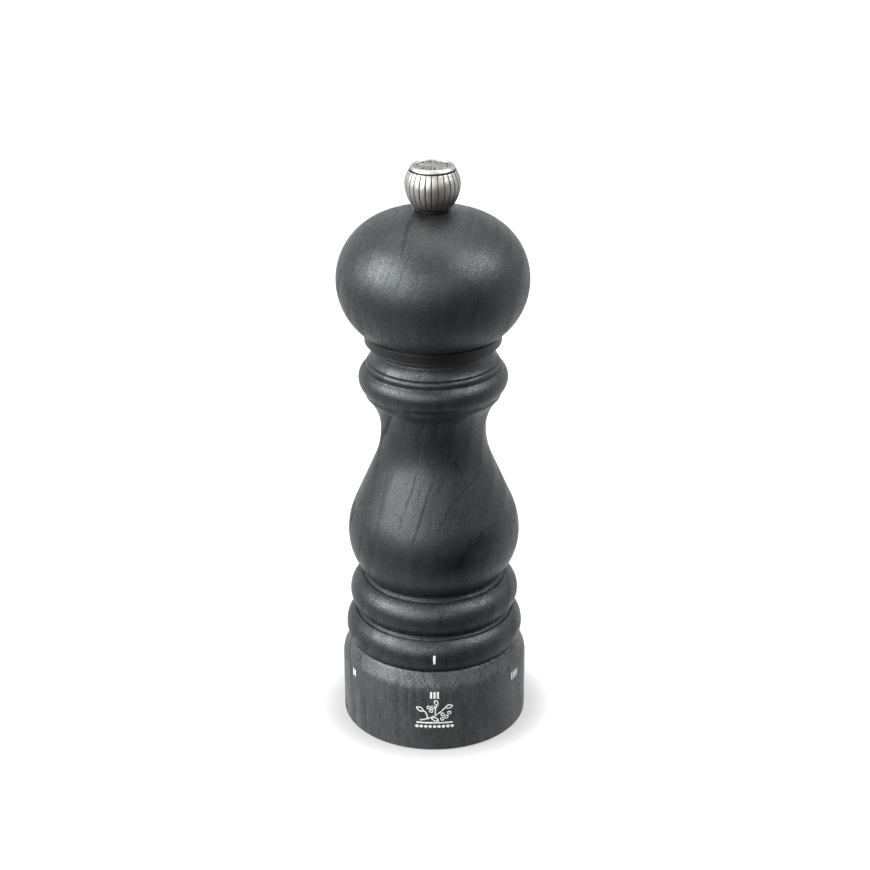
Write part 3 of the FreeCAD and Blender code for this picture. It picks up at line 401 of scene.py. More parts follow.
def growth_rings(g, z, bent, tall_place, pith, lean, gap, seed):
    """Rings round a far pith: the late wood, its dark edge, and the reach and sweep from the pith."""
    bent_x, bent_y, _ = g.split(bent)
    from_pith_x = g.calc("MULTIPLY_ADD", z, lean[0], g.calc("ADD", bent_x, -pith[0]))
    from_pith_y = g.calc("MULTIPLY_ADD", z, lean[1], g.calc("ADD", bent_y, -pith[1]))
    reach = g.length(g.combine(from_pith_x, from_pith_y, 0.0))
    sweep = g.calc("MULTIPLY", g.calc("ARCTAN2", from_pith_y, from_pith_x), reach)
    uneven = g.noise(g.combine(g.calc("MULTIPLY", reach, 0.09), seed, 0.0), 1.0, 1.0)
    years = g.calc("MULTIPLY_ADD", uneven, 0.8, g.calc("DIVIDE", reach, gap))
    phase = g.calc("FRACT", years)
    year_end = g.calc("SUBTRACT", 1.0, g.remap(phase, 0.95, 1.0))
    late_shown = g.remap(g.noise(tall_place, 0.055, 2.0), 0.38, 0.60, 0.15, 1.0)
    late = g.calc("MULTIPLY", g.calc("MULTIPLY", g.remap(phase, 0.1, 0.95), year_end), late_shown)
    edge_shown = g.remap(g.noise(tall_place, 0.11, 2.0), 0.50, 0.70, 0.0, 0.75)
    edge = g.calc("MULTIPLY", g.calc("MULTIPLY", g.remap(phase, 0.80, 0.94), year_end), edge_shown)
    return late, edge, reach, sweep


def stained_wood(name, pith, lean, seed, shades, ring_gap=4.9, roughness=0.46, splits=(),
                 patches=(), figure=1.0, hatching=0.25, torn=False):
    """Graphite-stained wood: growth rings round a far pith, fibre streaks, rays and pores.

    pith is where the pith crosses z = 0 and lean is how far it moves back for each millimetre up.
    shades are the colours of the pores, the late wood, the dark streaks, the light streaks and
    the rays. splits are lines of darker grain at the front, and patches are dark places there.
    figure is how much the rings show, and hatching how much the tool marks do on end grain.
    torn adds small dark marks along the base ring's upper edge. Roughness is that of a place with no
    light streak.
    """
    pore_shade, late_shade, dark_shade, light_shade, ray_shade = shades
    g = Graph(name)
    own = g.millimetres()
    place = g.millimetres((seed * 37.0, seed * 11.0, seed * 53.0))
    x, y, z = g.split(own)

    def stretched(by):
        """The place with its fibres drawn out along z."""
        return g.vector("MULTIPLY", place, (1.0, 1.0, by))

    tall_place = stretched(0.5)
    wander = g.centred(tall_place, 0.032, 1.0)
    ragged = g.centred(stretched(0.35), 0.8, 3.0)
    slightly_bent = g.vector("ADD", own, g.vector("SCALE", ragged, scale=0.5))
    bent = g.vector("ADD", own, g.vector("SCALE", wander, scale=10.0))
    bent = g.vector("ADD", bent, g.vector("SCALE", ragged, scale=1.1))
    late, edge, reach, sweep = growth_rings(g, z, bent, tall_place, pith, lean, ring_gap, seed)
    dark_lines = [edge] + ([dark_edge_marks(g, x, y, z)] if torn else [])
    dark_line = g.strongest(dark_lines + split_lines(g, place, slightly_bent, splits))

    fine_fibre = g.remap(g.noise(stretched(0.10), 2.4, 3.0, 0.7), 0.32, 0.68)
    broad_fibre = g.remap(g.noise(stretched(0.12), 0.5, 3.0, 0.6), 0.34, 0.66)
    cloud = g.remap(g.noise(tall_place, 0.10, 3.0, 0.6), 0.38, 0.62)
    speckle = g.remap(g.noise(place, 2.3, 3.0, 0.85), 0.42, 0.60)
    ray_place = g.combine(g.calc("MULTIPLY", sweep, 2.2), g.calc("MULTIPLY", reach, 0.2),
                          g.calc("MULTIPLY", z, 0.55))
    rays = g.remap(g.noise(ray_place, 1.0, 2.0), 0.58, 0.72)
    pores = g.remap(g.cells(stretched(0.4), 1.7), 0.32, 0.10)
    facing_up = g.split(g.node("ShaderNodeNewGeometry").outputs["Normal"])[2]
    end_grain = g.remap(g.calc("ABSOLUTE", facing_up), 0.15, 0.5)
    hatch = g.calc("MULTIPLY", hatched(g, x, y, z), g.calc("MULTIPLY", end_grain, hatching))

    tone = g.weighed(0.0, (broad_fibre, 0.22), (fine_fibre, 0.26), (cloud, 0.24), (speckle, 0.5),
                     (hatch, 0.5), (end_grain, -0.24 * hatching))
    tone = g.calc("MULTIPLY_ADD", late, -0.42 * figure, tone, clamp=True)
    colour = g.blend(tone, dark_shade, light_shade)
    for mask, share, shade in ((rays, 0.3, ray_shade), (pores, 0.7, pore_shade),
                               (dark_line, 0.95, late_shade)):
        colour = g.blend(g.calc("MULTIPLY", mask, share), colour, shade)
    # Dark patches: partly the wood's figure, partly painted shade.
    dark_patches = [dark_patch(g, bent, *patch) for patch in patches]
    for patch_mask in dark_patches:
        colour = g.blend(g.calc("MULTIPLY", patch_mask, 0.9), colour, late_shade)

    line_matt = g.remap(x, 3.0, -1.0, -0.06, 0.45)
    finish = g.calc("MULTIPLY_ADD", dark_line, line_matt, roughness)
    finish = g.weighed(finish, (speckle, -0.20), (fine_fibre, -0.08), (cloud, -0.09),
                       (hatch, -0.12), (late, 0.14 * figure), (pores, 0.3))
    if dark_patches:
        finish = g.weighed(finish, (g.strongest(dark_patches), -0.06))
    height = g.weighed(0.0, (fine_fibre, 0.5), (speckle, 0.6), (hatch, 0.4), (pores, -0.7),
                       (dark_line, -1.8))
    g.set(Base_Color=colour, Roughness=finish, Specular_IOR_Level=0.55,
          Specular_Tint=(0.90, 0.97, 1.0, 1), Normal=g.bump(height, 0.5, 0.05))
    return g.material


def moulded_plastic(name, colour, roughness, grain=0.35, gloss=0.5):
    """Black moulded plastic with a fine grain and slight wear."""
    g = Graph(name)
    place = g.millimetres()
    fine = g.noise(place, 6.0, 3.0, 0.6)
    broad = g.noise(place, 0.25, 3.0)
    tone = g.calc("MULTIPLY_ADD", broad, 0.6, g.calc("MULTIPLY", fine, 0.4))
    lighter = tuple(c * 2.2 for c in colour[:3]) + (1,)
    g.set(Base_Color=g.blend(g.remap(tone, 0.3, 0.7), colour, lighter),
          Roughness=g.calc("MULTIPLY_ADD", broad, 0.16, roughness - 0.08),
          Specular_IOR_Level=gloss, Normal=g.bump(fine, grain, 0.03))
    return g.material


def worked_metal(name, colour, dark, roughness, lay="turned", depth=0.25):
    """Metal with tool marks: turned rings or drawn lines, and a little tarnish."""
    g = Graph(name)
    place = g.millimetres()
    x, y, z = g.split(place)
    out = g.length(g.combine(x, y, 0.0))
    if lay == "turned":
        marks_place = g.combine(g.calc("MULTIPLY", out, 9.0), g.calc("MULTIPLY", z, 9.0), 0.0)
    else:
        marks_place = g.vector("MULTIPLY", place, (6.0, 6.0, 0.25))
    marks = g.noise(marks_place, 1.0, 3.0, 0.6)
    tarnish = g.noise(place, 0.5, 4.0, 0.6)
    g.set(Base_Color=g.blend(g.remap(tarnish, 0.35, 0.75), colour, dark), Metallic=1.0,
          Roughness=g.calc("MULTIPLY_ADD", marks, 0.2, roughness - 0.1),
          Normal=g.bump(marks, depth, 0.02))
    return g.material


def knob_metal(name, groove_share):
    """Antiqued nickel: bright rubbed ribs and dark patina in the flutes, with painted shade over the
    lower right side and at the foot.

    groove_share is how much of a flute's pitch is dark on each side of its groove.
    """
    g = Graph(name)
    place = g.millimetres()
    x, y, z = g.split(place)
    turn = g.calc("SUBTRACT", g.calc("ARCTAN2", y, x), FLUTE_TURN)
    across = g.calc("FRACT", g.calc("MULTIPLY_ADD", turn, FLUTES / (2 * math.pi), FLUTES))
    from_groove = g.calc("ABSOLUTE", g.calc("SUBTRACT", across, 0.5))
    groove = g.remap(from_groove, 0.5 - groove_share, 0.5 - groove_share / 3)
    groove = g.calc("MULTIPLY", groove, g.remap(z, CAP_SEAM, CAP_SEAM - 0.2))
    drawn = g.noise(g.vector("MULTIPLY", place, (5.0, 5.0, 0.7)), 1.0, 3.0, 0.6)
    mottle = g.noise(place, 0.8, 4.0, 0.65)
    # Painted shade: the knob darkens towards its foot and its right side, away from the key light.
    painted_shade_height = g.calc("MULTIPLY_ADD", mottle, 3.0, g.calc("MULTIPLY_ADD", x, -0.32, z))
    low = g.remap(painted_shade_height, *KNOB_PAINTED_SHADE)
    # Painted shade: the foot goes near-black, the shade under the knob.
    foot = g.remap(z, *KNOB_FOOT_PAINTED_SHADE)
    patina = g.calc("MULTIPLY_ADD", g.remap(mottle, 0.5, 0.8), 0.2, g.calc("MULTIPLY", low, 0.8))
    seam = g.remap(z, CAP_SEAM - 0.28, CAP_SEAM - 0.18)
    # The flutes and the seam get patina; the foot's near-black is painted shade.
    for mask, share in ((groove, 0.85), (seam, 0.9), (foot, 0.97)):
        patina = g.calc("MAXIMUM", patina, g.calc("MULTIPLY", mask, share), clamp=True)
    colour = g.blend(patina, (0.45, 0.434, 0.402, 1), (0.050, 0.042, 0.035, 1))
    finish = g.calc("MULTIPLY_ADD", drawn, 0.16, 0.37)
    g.set(Base_Color=colour, Metallic=1.0, Roughness=g.calc("MULTIPLY_ADD", patina, 0.15, finish),
          Normal=g.bump(drawn, 0.15, 0.02))
    return g.material


def cap_metal(name, raised):
    """The cap's antiqued nickel: a bright rim and relief over a dark, stippled floor."""
    g = Graph(name)
    place = g.millimetres()
    x, y, z = g.split(place)
    out = g.length(g.combine(x, y, 0.0))
    stipple = g.cells(place, 2.4)
    cloud = g.noise(place, 0.7, 3.0)
    floor = g.calc("MULTIPLY", g.remap(z, CAP_FLOOR + 0.15, CAP_FLOOR + 0.04), g.remap(out, 5.6, 5.2))
    seam = g.remap(z, CAP_SEAM + 0.2, CAP_SEAM + 0.12)
    patina = g.calc("MULTIPLY", g.calc("MAXIMUM", floor, seam), 0.0 if raised else 0.85)
    patina = g.calc("MULTIPLY_ADD", g.remap(cloud, 0.45, 0.8), 0.25, patina, clamp=True)
    colour = g.blend(patina, (0.50, 0.486, 0.46, 1), (0.12, 0.114, 0.104, 1))
    g.set(Base_Color=colour, Metallic=1.0,
          Roughness=g.calc("MULTIPLY_ADD", stipple, 0.2, 0.34), Normal=g.bump(stipple, 0.3, 0.04))
    return g.material


def printed_white(name):
    """Thin white print with slightly uneven ink."""
    g = Graph(name)
    ink = g.noise(g.millimetres(), 3.0, 3.0, 0.6)
    g.set(Base_Color=g.blend(g.remap(ink, 0.3, 0.62), (0.52, 0.54, 0.54, 1), (0.86, 0.87, 0.86, 1)),
          Roughness=0.55, Normal=g.bump(ink, 0.2, 0.01))
    return g.material


# The shades of the pores, the late wood, the dark streaks, the light streaks and the rays.
DARK_SHADES = ((0.0008, 0.0008, 0.0009, 1), (0.0009, 0.0009, 0.0010, 1), (0.0010, 0.0011, 0.0013, 1),
               (0.021, 0.0232, 0.0240, 1), (0.029, 0.0318, 0.0328, 1))
RING_SHADES = ((0.004, 0.004, 0.0045, 1), (0.006, 0.006, 0.0065, 1), (0.013, 0.0135, 0.014, 1),
               (0.066, 0.069, 0.070, 1), (0.080, 0.083, 0.084, 1))
# A split is its strength and the (x, z) points it runs through; a patch is x, z and half its sizes.
BODY_SPLITS = (
    (0.95, ((6.4, 92.5), (9.7, 84.5))),
    (1.0, ((16.5, 87.6), (9.7, 84.3), (4.8, 79.8), (1.2, 73.0))),
    (1.0, ((23.5, 72.2), (15.8, 72.0), (11.0, 69.0), (6.5, 62.5))),
    (0.7, ((-2.9, 101.0), (-5.0, 89.5), (-6.3, 84.8), (-8.3, 79.6), (-10.6, 73.0))),
    (0.75, ((0.7, 103.0), (0.6, 88.0), (-1.9, 83.0), (-3.9, 76.8), (-6.6, 69.0))),
    (0.6, ((-11.8, 97.0), (-14.9, 82.3), (-18.6, 66.0))),
)
HEAD_SPLITS = ((1.0, ((-3.6, 167.0), (-7.0, 164.9), (-8.3, 161.7), (-8.6, 159.6))),)
# The dark patches are partly the wood's figure and partly painted shade at the front.
BODY_PATCHES = ((7.5, 62.5, 10.0, 7.0), (15.5, 68.5, 9.0, 4.5), (2.0, 112.0, 9.0, 3.0))
WOOD_BODY = stained_wood("wood_body", (-79.5, -10.0), (-0.25, 0.0), 1.0, DARK_SHADES,
                         splits=BODY_SPLITS, patches=BODY_PATCHES, figure=1.25)
WOOD_HEAD = stained_wood("wood_head", (-90.0, 12.0), (-0.14, 0.1), 2.0, DARK_SHADES, 4.4, 0.49,
                         HEAD_SPLITS, figure=0.6)
WOOD_RING = stained_wood("wood_ring", (-95.0, -14.0), (0.05, 0.03), 3.0, RING_SHADES, 3.6, 0.52,
                         figure=0.7, hatching=1.7, torn=True)
COLLAR_BLACK = moulded_plastic("collar_black", (0.0032, 0.0032, 0.0036, 1), 0.34, 0.2, 0.5)
HOUSING_BLACK = moulded_plastic("housing_black", (0.016, 0.016, 0.017, 1), 0.52)
STEEL = worked_metal("zinc_steel", (0.60, 0.61, 0.62, 1), (0.34, 0.34, 0.33, 1), 0.34)
DRAWN_STEEL = worked_metal("drawn_steel", (0.58, 0.58, 0.58, 1), (0.36, 0.35, 0.33, 1), 0.3, "drawn")
SPRING_STEEL = worked_metal("spring_steel", (0.36, 0.36, 0.37, 1), (0.16, 0.15, 0.14, 1), 0.36)
BURR_STEEL = worked_metal("burr_steel", (0.30, 0.30, 0.31, 1), (0.12, 0.11, 0.10, 1), 0.42, "drawn")
BRASS = worked_metal("bush_brass", (0.72, 0.53, 0.26, 1), (0.42, 0.29, 0.13, 1), 0.34)
KNOB_METAL = knob_metal("knob_nickel", 0.17)
CAP_METAL = cap_metal("cap_nickel", False)
CAP_RELIEF = cap_metal("cap_relief_nickel", True)
PRINT_WHITE = printed_white("printed_white")


# ---------------------------------------------------------------- the turned wood

BODY_START = (23.7, 27.0)
BODY_OUTSIDE = [
    line(26.3, 27.0),
    bulge(27.58, 31.1, 7.2),
    bulge(24.8, 36.6, 6.83),
    line(24.3, 36.5),
    line(24.2, 36.95),
    line(23.8, 37.15),
    line(23.7, 37.8),
    bulge(26.18, 42.9, 6.48),
    bulge(22.4, 48.6, 6.19),
    line(21.9, 48.5),
    line(21.8, 48.95),
    line(21.4, 49.15),
    line(21.3, 50.0),
    bulge(26.44, 63.3, 19.78),
    bulge(24.43, 72.91, 24.0),
    line(18.15, 87.28),
    hollow(15.97, 97.7, 26.0),
    hollow(20.5, 109.1, 16.6),
    line(20.7, 110.2),
    line(21.05, 110.8),
    bulge(22.56, 114.4, 5.05),
    bulge(20.95, 117.8, 4.4),
    line(20.75, 118.1),
    line(20.15, 118.2),
    line(20.3, 118.7),
    bulge(19.75, 119.9, 1.5),
    line(19.4, 119.95),
    line(19.6, 120.4),
    hollow(18.35, 123.6, 5.5),
    hollow(18.9, 125.3, 1.4),
]
BODY_INSIDE = [
    line(14.3, 125.3),
    line(14.3, 119.3),
    line(12.3, 119.3),
    line(12.3, 56.0),
    line(15.7, 50.0),
    line(17.6, 50.0),
    line(17.6, 29.6),
    line(23.7, 29.6),
]
body_wood = turned("body_turning", outline(BODY_START, BODY_OUTSIDE + BODY_INSIDE))
finish_piece(body_wood, "body", WOOD_BODY, "stained_wood", "body_wood")

HEAD_RUNS = [
    line(11.9, 117.8),
    line(11.9, 130.0),
    line(21.75, 130.0),
    bulge(28.74, 145.3, 20.2),
    bulge(17.05, 163.17, 19.5),
    bulge(5.2, 166.38, 42.6),
    line(5.2, 165.6),
    line(2.9, 165.6),
    line(2.9, 158.0),
    line(4.7, 158.0),
]
head_wood = turned("head_turning", outline((4.7, 117.8), HEAD_RUNS))
finish_piece(head_wood, "head", WOOD_HEAD, "stained_wood", "head_wood")

RING_START = (24.9, 0.0)
RING_OUTSIDE = [
    line(28.1, 0.0),
    bulge(28.9, 0.8, 0.8),
    line(28.9, 20.2),
    bulge(28.14, 23.12, 6.0),
    line(26.2, 26.6),
]
RING_INSIDE = [line(20.5, 26.6), line(20.5, 22.6), line(24.9, 22.6)]
NICK_PITCH, NICKS_FROM, NICKS_TO = 2.4, 34.0, 74.0
NICK_DEPTH, NICK_LOW, NICK_GROWTH = 0.35, 24.4, 1.2
NICK_INSIDE = 25.5


def nicked(radius, height, angle):
    """The ring's radius: torn grain leaves small nicks at the shoulder's edge, front right.

    The nicks' pitch and limits are degrees right of the front.
    """
    right = math.degrees(angle) - 270.0
    if height < NICK_LOW or radius < NICK_INSIDE or not NICKS_FROM < right < NICKS_TO:
        return radius
    window = math.sin(math.pi * (right - NICKS_FROM) / (NICKS_TO - NICKS_FROM))
    uneven = 0.65 + 0.35 * math.sin(right * 1.7) * math.sin(right * 0.61 + 1.0)
    tooth = (0.5 + 0.5 * math.cos(2 * math.pi * right / NICK_PITCH)) ** 2
    rise = min(1.0, (height - NICK_LOW) / NICK_GROWTH)
    return radius - NICK_DEPTH * tooth * window * uneven * rise


ring_outline = outline(RING_START, RING_OUTSIDE + RING_INSIDE, longest=1.0)
base_ring = turned("ring_turning", ring_outline, RING_STEPS, nicked)
finish_piece(base_ring, "adjuster", WOOD_RING, "stained_wood", "base_ring_wood")

COLLAR_RUNS = [
    line(14.2, 119.3),
    line(14.2, 125.3),
    line(19.75, 125.3),
    bulge(19.95, 125.52, 0.22),
    bulge(19.7, 125.78, 0.25),
    line(19.6, 125.9),
    line(20.3, 126.0),
    bulge(20.6, 126.3, 0.3),
    line(20.6, 128.9),
    line(20.1, 129.2),
    line(20.1, 129.7),
    line(12.2, 129.7),
]
collar = turned("collar_turning", outline((12.2, 119.3), COLLAR_RUNS, 0.05))
finish_piece(collar, "body", COLLAR_BLACK, "collar_plastic", "swivel_collar")


# ---------------------------------------------------------------- knob and its cap

KNOB_RUNS = [
    line(4.5, 166.5),
    line(4.5, 167.0),
    bulge(6.65, 169.0, 4.0),
    bulge(8.22, 174.4, 11.0),
    bulge(7.35, 177.7, 6.65),
    bulge(6.92, 178.55, 3.0),
    line(6.6, 178.6),
    line(6.55, 177.2),
    line(0.0, 177.2),
]
KNOB_BORE = [line(0.0, 176.3), line(2.6, 176.3)]
KNOB_NECK, CAP_SEAT_RADIUS, CAP_SEAT_LOW = 4.4, 6.7, 176.0
FLUTE_DEPTH, FLUTE_LOW, FLUTE_HIGH = 0.3, 167.2, 178.52
FLUTE_FADE_LOW, FLUTE_FADE_HIGH = 1.2, 0.3


def fluted(radius, height, angle):
    """The knob's radius: broad rounded ribs with thin grooves between them."""
    inside = radius < KNOB_NECK or radius < CAP_SEAT_RADIUS and height > CAP_SEAT_LOW
    if inside or not FLUTE_LOW < height < FLUTE_HIGH:
        return radius
    across = (angle - FLUTE_TURN) * FLUTES / (2 * math.pi) % 1.0
    from_rib = abs(across - 0.5) * 2
    crown = 0.15 * from_rib ** 2 + 0.85 * from_rib ** 9
    fade = min(1.0, (height - FLUTE_LOW) / FLUTE_FADE_LOW, (FLUTE_HIGH - height) / FLUTE_FADE_HIGH)
    return radius - FLUTE_DEPTH * crown * math.sin(fade * math.pi / 2)


knob_outline = outline((2.6, 166.5), KNOB_RUNS + KNOB_BORE, 0.06, longest=0.6)
knob = turned("knob_fluted", knob_outline, FLUTES * STEPS_PER_FLUTE, fluted)
finish_piece(knob, "knob", KNOB_METAL, "knob_metal", "knob")

CAP_RUNS = [
    line(6.35, 177.2),
    line(6.35, 178.8),
    line(6.62, 178.95),
    bulge(6.72, 179.1, 0.2),
    bulge(5.95, 180.0, 1.6),
    bulge(5.5, 179.8, 0.6),
    hollow(5.3, CAP_FLOOR, 0.4),
    line(0.0, CAP_FLOOR),
]
cap = turned("knob_cap_disc", outline((0.0, 177.2), CAP_RUNS, 0.05, longest=0.5), CAP_STEPS)
finish_piece(cap, "knob", CAP_METAL, "knob_metal", "knob_cap")


# ---------------------------------------------------------------- printed marks and relief

def outside_radius(start, runs):
    """A function of height that gives the outside radius of an outline, in millimetres."""
    points = outline(start, runs, 0.0, closed=False, longest=0.5)

    def radius_at(height):
        for low, high in zip(points, points[1:]):
            if min(low.y, high.y) <= height <= max(low.y, high.y) and high.y != low.y:
                return low.x + (high.x - low.x) * (height - low.y) / (high.y - low.y)
        raise ValueError(f"the outline has no height {height}")

    return radius_at


def round_the_mill(radius_at, turn=0.0):
    """Puts (across, height) on a turned surface, across millimetres right of a turn."""
    def place(across, height, level):
        radius = radius_at(height)
        angle = turn + across / radius
        return Vector((math.sin(angle), -math.cos(angle), 0)) * (radius + level) + Vector((0, 0, height))

    return place


def on_the_cap(height):
    """Puts (x, y) flat on the knob's cap."""
    def place(x, y, level):
        return Vector((x, y, height + level))

    return place


def add_ribbon(vertices, faces, points, width, closed, place, lift, sink):
    """A thin ribbon along points, as a closed solid from sink below the surface to lift above."""
    first = len(vertices)
    count = len(points)
    for index, point in enumerate(points):
        before = points[index - 1] if closed or index else point
        after = points[(index + 1) % count] if closed or index < count - 1 else point
        along = (after - before).normalized()
        side = Vector((-along.y, along.x)) * width / 2
        for corner, level in ((side, lift), (-side, lift), (-side, -sink), (side, -sink)):
            spot = point + corner
            vertices.append(place(spot.x, spot.y, level) * MM)
    for index in range(count if closed else count - 1):
        here = first + index * 4
        there = first + (index + 1) % count * 4
        for k in range(4):
            after = (k + 1) % 4
            faces.append([here + k, here + after, there + after, there + k])
    if not closed:
        last = first + (count - 1) * 4
        faces.append([first + 3, first + 2, first + 1, first])
        faces.append([last, last + 1, last + 2, last + 3])


def drawing(name, strokes, place, lift=0.02, sink=0.05):
    """One piece made of strokes: (points, width, closed)."""
    vertices = []
    faces = []
    for points, width, closed in strokes:
        add_ribbon(vertices, faces, points, width, closed, place, lift, sink)
    return new_piece(name, vertices, faces)


def straight(x0, y0, x1, y1, pieces=8):
    start = Vector((x0, y0))
    return [start.lerp(Vector((x1, y1)), step / pieces) for step in range(pieces + 1)]


def ring_of(x, y, radius, pieces=16):
    turns = [2 * math.pi * step / pieces for step in range(pieces)]
    return [Vector((x + radius * math.cos(t), y + radius * math.sin(t))) for t in turns]


def bent_stem(x0, y0, x1, y1, sag, pieces=12):
    """A curved line that leaves its chord by sag at the middle."""
    start, end = Vector((x0, y0)), Vector((x1, y1))
    side = Vector((y0 - y1, x1 - x0)).normalized() * sag
    shares = [step / pieces for step in range(pieces + 1)]
    return [start.lerp(end, t) + side * 4 * t * (1 - t) for t in shares]


def leaf(x, y, turn_degrees, length, breadth):
    """A pointed leaf's outline from its foot at (x, y)."""
    turn = math.radians(turn_degrees)
    tip = (x + length * math.cos(turn), y + length * math.sin(turn))
    return bent_stem(x, y, *tip, breadth)[:-1] + bent_stem(*tip, x, y, breadth)[:-1]


ring_radius = outside_radius(RING_START, RING_OUTSIDE)
body_radius = outside_radius(BODY_START, BODY_OUTSIDE)

INDEX_WIDTH, INDEX_LOW, INDEX_HIGH = 0.72, 30.15, 33.05
index_bar = straight(0.0, INDEX_LOW, 0.0, INDEX_HIGH)
index_mark = drawing("index_mark", [(index_bar, INDEX_WIDTH, False)], round_the_mill(body_radius))
finish_piece(index_mark, "body", PRINT_WHITE, "stained_wood")

BAR_WIDTH, BAR_PITCH, BAR_LOW, BAR_HIGH = 0.66, 1.06, 18.75, 21.1
SETTINGS = 6
FRONT_SETTING = 3
PRINTED_LOWER = {2: 0.3, 4: 1.0}
for setting in range(1, SETTINGS + 1):
    turn = 2 * math.pi * (setting - FRONT_SETTING) / SETTINGS
    drop = PRINTED_LOWER.get(setting, 0.0)
    bars = []
    for count in range(setting):
        across = (count - (setting - 1) / 2) * BAR_PITCH
        low, high = BAR_LOW - drop, BAR_HIGH - drop
        bars.append((straight(across, low, across, high), BAR_WIDTH, False))
    mark = drawing(f"setting_{setting}", bars, round_the_mill(ring_radius, turn))
    finish_piece(mark, "adjuster", PRINT_WHITE, "stained_wood")

LINE = 0.36
sprig = [
    (bent_stem(-4.6, 11.0, 3.4, 15.6, -0.9), LINE, False),
    (bent_stem(0.4, 12.6, 0.9, 16.6, 0.4), LINE, False),
    (bent_stem(-2.4, 11.5, -3.4, 14.4, -0.5), LINE, False),
    (leaf(3.3, 15.5, 12.0, 2.4, 0.55), LINE, True),
    (leaf(0.9, 16.4, 112.0, 1.9, 0.5), LINE, True),
    (leaf(-3.4, 14.3, 150.0, 2.5, 0.6), LINE, True),
    (leaf(-1.0, 12.0, -28.0, 2.6, 0.55), LINE, True),
]
BERRIES = (
    (2.5, 13.1), (3.7, 12.2), (2.4, 11.5), (4.6, 13.6), (-1.0, 14.4), (-0.4, 15.7), (-1.8, 15.6),
)
BERRY_RADIUS, BERRY_LINE = 0.5, LINE * 0.85
for x, y in BERRIES:
    sprig.append((ring_of(x, y, BERRY_RADIUS), BERRY_LINE, True))
GROUND_HALF, GROUND_HEIGHT, GROUND_LINE = 5.6, 10.1, 0.5
ground = straight(-GROUND_HALF, GROUND_HEIGHT, GROUND_HALF, GROUND_HEIGHT, 24)
sprig.append((ground, GROUND_LINE, False))
emblem = drawing("sprig_mark", sprig, round_the_mill(ring_radius))
finish_piece(emblem, "adjuster", PRINT_WHITE, "stained_wood")

BEADS, BEAD_PITCH, BEAD_HEIGHT, BEAD_RADIUS = 9, 1.38, 8.75, 0.52
BEAD_EYE = 0.01
beads = []
for index in range(BEADS):
    across = (index - (BEADS - 1) / 2) * BEAD_PITCH
    bead = ring_of(across, BEAD_HEIGHT, BEAD_RADIUS / 2 + BEAD_EYE)
    beads.append((bead, BEAD_RADIUS, True))
bead_row = drawing("bead_mark", beads, round_the_mill(ring_radius))
finish_piece(bead_row, "adjuster", PRINT_WHITE, "stained_wood")

PETALS = 6
PETAL_FOOT, PETAL_LENGTH, PETAL_BREADTH, PETAL_LINE = 1.2, 3.1, 0.62, 0.3
SPOKE_START, SPOKE_END, SPOKE_LINE = 0.9, 4.9, 0.42


def pointing(degrees):
    """A unit step in a direction on the cap."""
    return Vector((math.cos(math.radians(degrees)), math.sin(math.radians(degrees))))


rosette = [(ring_of(0.0, 0.0, 0.75, 24), 0.4, True), (ring_of(0.0, 0.0, 4.95, 48), 0.35, True)]
for index in range(PETALS):
    turn = 90.0 + 360.0 * index / PETALS
    spoke = straight(*pointing(turn) * SPOKE_START, *pointing(turn) * SPOKE_END)
    rosette.append((spoke, SPOKE_LINE, False))
    turn += 180.0 / PETALS
    petal = leaf(*pointing(turn) * PETAL_FOOT, turn, PETAL_LENGTH, PETAL_BREADTH)
    rosette.append((petal, PETAL_LINE, True))
relief = drawing("cap_rosette", rosette, on_the_cap(CAP_FLOOR), 0.22, 0.1)
finish_piece(relief, "knob", CAP_RELIEF, "knob_metal")


# ---------------------------------------------------------------- materials of the CAD nodes

NODE_MATERIALS = {
    "mechanism_housing": HOUSING_BLACK,
    "adjuster_sleeve": HOUSING_BLACK,
    "bottom_cover": HOUSING_BLACK,
    "crown_carrier": HOUSING_BLACK,
    # The knob washer is a piece of the model, but its black stands in for painted shade under the knob.
    "knob_washer": COLLAR_BLACK,
    "shaft_bush": BRASS,
    "drive_shaft": DRAWN_STEEL,
    "grinding_nut": BURR_STEEL,
    "grind_crown": BURR_STEEL,
    "pressure_spring": SPRING_STEEL,
    "detent_spring": SPRING_STEEL,
    "sleeve_retaining_ring": SPRING_STEEL,
    "crown_clip": SPRING_STEEL,
    "shaft_clip": SPRING_STEEL,
}
for node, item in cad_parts.items():
    item.data.materials.clear()
    item.data.materials.append(NODE_MATERIALS.get(node, STEEL))


# ---------------------------------------------------------------- studio

AIM = Vector((0.0, 0.0, 0.09))
CAMERA_PLACE = (0.00045, -0.564, 0.348)
CAMERA_LENS, CAMERA_DOWN, CAMERA_ROLL = 83.88, 24.19, -0.2
FLOOR_REACH, WALL_RADIUS, WALL_LOW, WALL_HIGH, WALL_STEPS = 60.0, 8.0, -0.01, 9.0, 96


def aimed_from(turn, height, distance):
    """A place seen from the mill at a turn left of the front and a height, in degrees."""
    turn = math.radians(turn)
    height = math.radians(height)
    way = (-math.sin(turn) * math.cos(height), -math.cos(turn) * math.cos(height), math.sin(height))
    return AIM + Vector(way) * distance


def soft_box(name, turn, height, distance, size, power):
    """A rectangular soft box that faces the mill."""
    data = bpy.data.lights.new(name, "AREA")
    data.shape = "RECTANGLE"
    data.size, data.size_y = size
    data.energy = power
    lamp = bpy.data.objects.new(name, data)
    lamp.location = aimed_from(turn, height, distance)
    lamp.rotation_euler = (AIM - lamp.location).to_track_quat("-Z", "Y").to_euler()
    bpy.context.scene.collection.objects.link(lamp)


